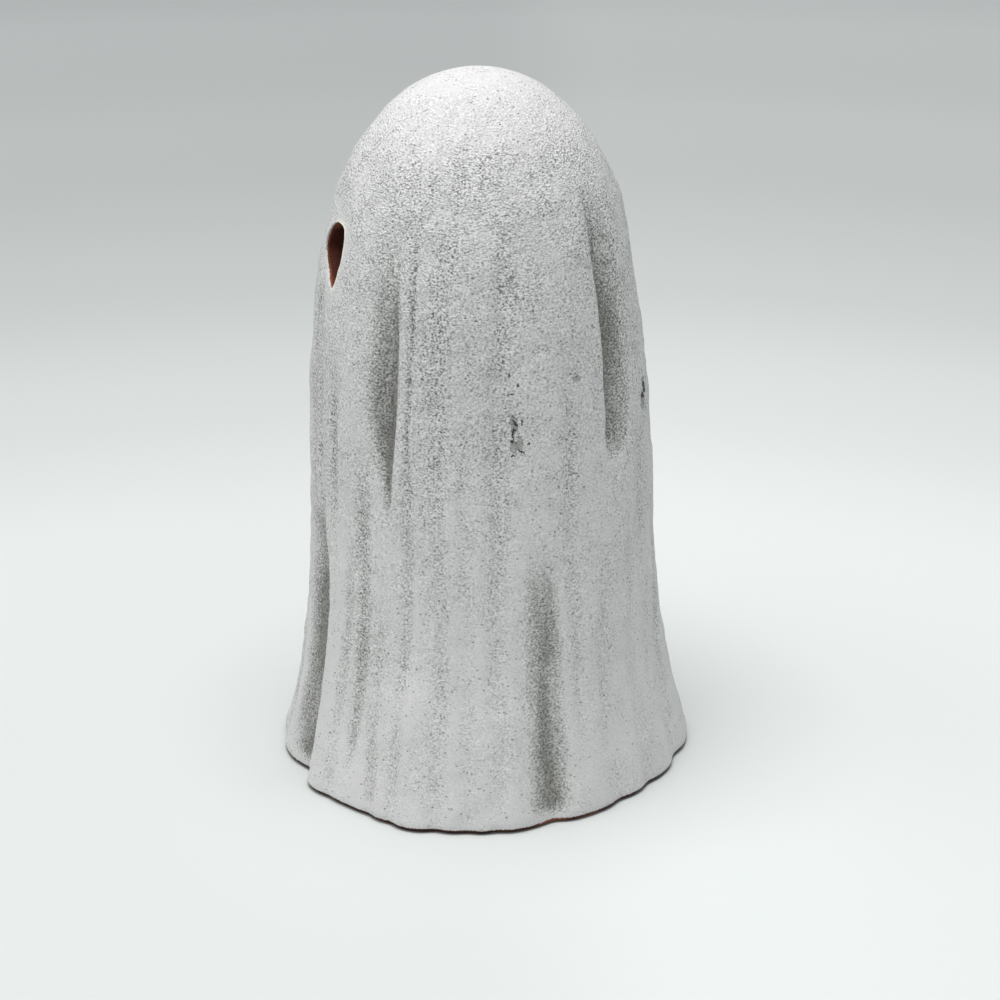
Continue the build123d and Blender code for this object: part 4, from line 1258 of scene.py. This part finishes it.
def floor_material(studio):
    """Pale floor that darkens softly with distance as painted falloff of the light, is paler towards +Y as
    painted light, and isn't seen from below.
    """
    made = Finish("studio_floor")
    spot = made.add("ShaderNodeTexCoord").outputs["Object"]
    shift = (-FLOOR_FADE_CENTRE[0], -FLOOR_FADE_CENTRE[1], 0.0)
    moved = made.vectors("ADD", {0: spot, 1: shift})
    away = made.vectors("LENGTH", {0: moved}, "Value")
    shade = made.add("ShaderNodeValToRGB", {"Fac": made.maths("DIVIDE", away, FLOOR_REACH)})
    shade.color_ramp.interpolation = "EASE"
    stops = shade.color_ramp.elements
    while len(stops) < len(FLOOR_PAINTED_FALLOFF):
        stops.new(1.0)
    for stop, (distance, level) in zip(stops, FLOOR_PAINTED_FALLOFF):
        stop.position = distance / FLOOR_REACH
        stop.color = (level, level, level, 1.0)
    # Painted light on the +Y side of the floor, where the object's shadow falls
    painted_light_share = made.ramp(made.part_of(spot, "Y"), *FLOOR_PAINTED_LIGHT)
    pale = made.blend(painted_light_share, studio.near_floor, studio.right_floor_painted_light)
    made.set(Base_Color=made.blend(shade.outputs["Color"], (0.0, 0.0, 0.0), pale))
    made.set(Roughness=0.9, Specular_IOR_Level=0.1)
    seen = seen_directly(made)
    far = made.maths("MULTIPLY", made.ramp(away, *FLOOR_FADE), seen)
    plain = made.add("ShaderNodeEmission", {"Color": studio.far_floor}).outputs["Emission"]
    top = made.add("ShaderNodeMixShader", {0: far, 1: made.surface.outputs["BSDF"], 2: plain})
    from_axis = made.vectors("LENGTH", {0: spot}, "Value")
    shadow = made.add("ShaderNodeLightPath").outputs["Is Shadow Ray"]
    hole = made.maths("MULTIPLY", shadow, made.ramp(from_axis, *LAMP_HOLE, 1.0, 0.0))
    below = made.maths("MAXIMUM", made.add("ShaderNodeNewGeometry").outputs["Backfacing"], hole)
    clear = made.add("ShaderNodeBsdfTransparent").outputs["BSDF"]
    mix = made.add("ShaderNodeMixShader", {0: below, 1: top.outputs["Shader"], 2: clear})
    made.put(made.tree.nodes["Material Output"].inputs["Surface"], mix.outputs["Shader"])
    return made.material


def add_floor(scene, studio):
    half = FLOOR_SIZE / 2.0
    data = bpy.data.meshes.new("floor")
    corners = [(-half, -half, 0.0), (half, -half, 0.0), (half, half, 0.0), (-half, half, 0.0)]
    data.from_pydata(corners, [], [(0, 1, 2, 3)])
    data.materials.append(floor_material(studio))
    floor = bpy.data.objects.new("floor", data)
    scene.collection.objects.link(floor)


def add_world(scene, studio):
    """Soft light from above the table. The camera and reflections see the far floor's colour instead."""
    world = bpy.data.worlds.new("studio")
    scene.world = world
    world.use_nodes = True
    made = Nodes(world.node_tree)
    way = made.add("ShaderNodeTexCoord").outputs["Generated"]
    strength = made.ramp(made.part_of(way, "Z"), *HORIZON, 0.0, studio.ambient)
    light = made.add("ShaderNodeBackground", {"Color": SKY_COLOUR, "Strength": strength})
    seen = made.add("ShaderNodeBackground", {"Color": studio.far_floor})
    parts = {0: seen_directly(made), 1: light.outputs["Background"], 2: seen.outputs["Background"]}
    mix = made.add("ShaderNodeMixShader", parts)
    made.put(made.tree.nodes["World Output"].inputs["Surface"], mix.outputs["Shader"])


def add_lamp(scene, studio, lamp):
    data = bpy.data.lights.new(lamp.name, "AREA")
    data.shape = "DISK"
    data.size = lamp.width
    data.energy = getattr(studio, lamp.power)
    light = bpy.data.objects.new(lamp.name, data)
    light.location = lamp.place
    light.visible_camera = False
    light.rotation_mode = "QUATERNION"
    light.rotation_quaternion = (LAMP_AIM - light.location).to_track_quat("-Z", "Y")
    scene.collection.objects.link(light)


def add_camera(scene, studio):
    data = bpy.data.cameras.new("photo_view")
    data.sensor_fit = "HORIZONTAL"
    data.sensor_width = SENSOR_WIDTH
    data.lens = studio.camera_lens
    data.dof.use_dof = False
    camera = bpy.data.objects.new("photo_view", data)
    back = Vector((math.cos(studio.camera_rise), 0.0, math.sin(studio.camera_rise)))
    camera.location = CAMERA_AIM + back * studio.camera_distance
    camera.rotation_mode = "QUATERNION"
    camera.rotation_quaternion = (-back).to_track_quat("-Z", "Y")
    scene.collection.objects.link(camera)
    scene.camera = camera


class CLAYGHOST_OT_stage(bpy.types.Operator):
    """Add the floor, the lights and the camera at the photo's angle"""

    bl_idname = "clay_ghost.stage"
    bl_label = "Stage"

    def execute(self, context):
        scene = context.scene
        studio = scene.ghost_studio
        scene.view_settings.view_transform = "Standard"
        add_floor(scene, studio)
        add_world(scene, studio)
        for lamp in LAMPS:
            add_lamp(scene, studio, lamp)
        add_camera(scene, studio)
        return {"FINISHED"}


class CLAYGHOST_PT_panel(bpy.types.Panel):
    """Lists the ghost's sizes, finishes and operators"""

    bl_idname = "CLAYGHOST_PT_panel"
    bl_label = "Clay Ghost"
    bl_space_type = "VIEW_3D"
    bl_region_type = "UI"
    bl_category = "Clay Ghost"

    def draw(self, context):
        layout = self.layout
        for owner in GHOST_SETTINGS:
            box = layout.box()
            box.label(text=owner.replace("_", " ").capitalize())
            settings = getattr(context.scene, owner)
            for name in settings.__annotations__:
                box.prop(settings, name)
        for operator in (CLAYGHOST_OT_shell, CLAYGHOST_OT_tealight, CLAYGHOST_OT_stage):
            layout.operator(operator.bl_idname)


GHOST_SETTINGS = {
    "ghost_form": GhostForm,
    "ghost_finish": GhostFinish,
    "tealight_finish": TealightFinish,
    "ghost_studio": StudioSettings,
}

CLASSES = (
    *GHOST_SETTINGS.values(),
    CLAYGHOST_OT_shell,
    CLAYGHOST_OT_tealight,
    CLAYGHOST_OT_stage,
    CLAYGHOST_PT_panel,
)


def register():
    for item in CLASSES:
        bpy.utils.register_class(item)
    for name, group in GHOST_SETTINGS.items():
        setattr(bpy.types.Scene, name, PointerProperty(type=group))


def unregister():
    for name in GHOST_SETTINGS:
        delattr(bpy.types.Scene, name)
    for item in reversed(CLASSES):
        bpy.utils.unregister_class(item)


def main():
    register()
    bpy.ops.clay_ghost.shell()
    bpy.ops.clay_ghost.tealight()
    bpy.ops.clay_ghost.stage()


if __name__ == "__main__":
    main()
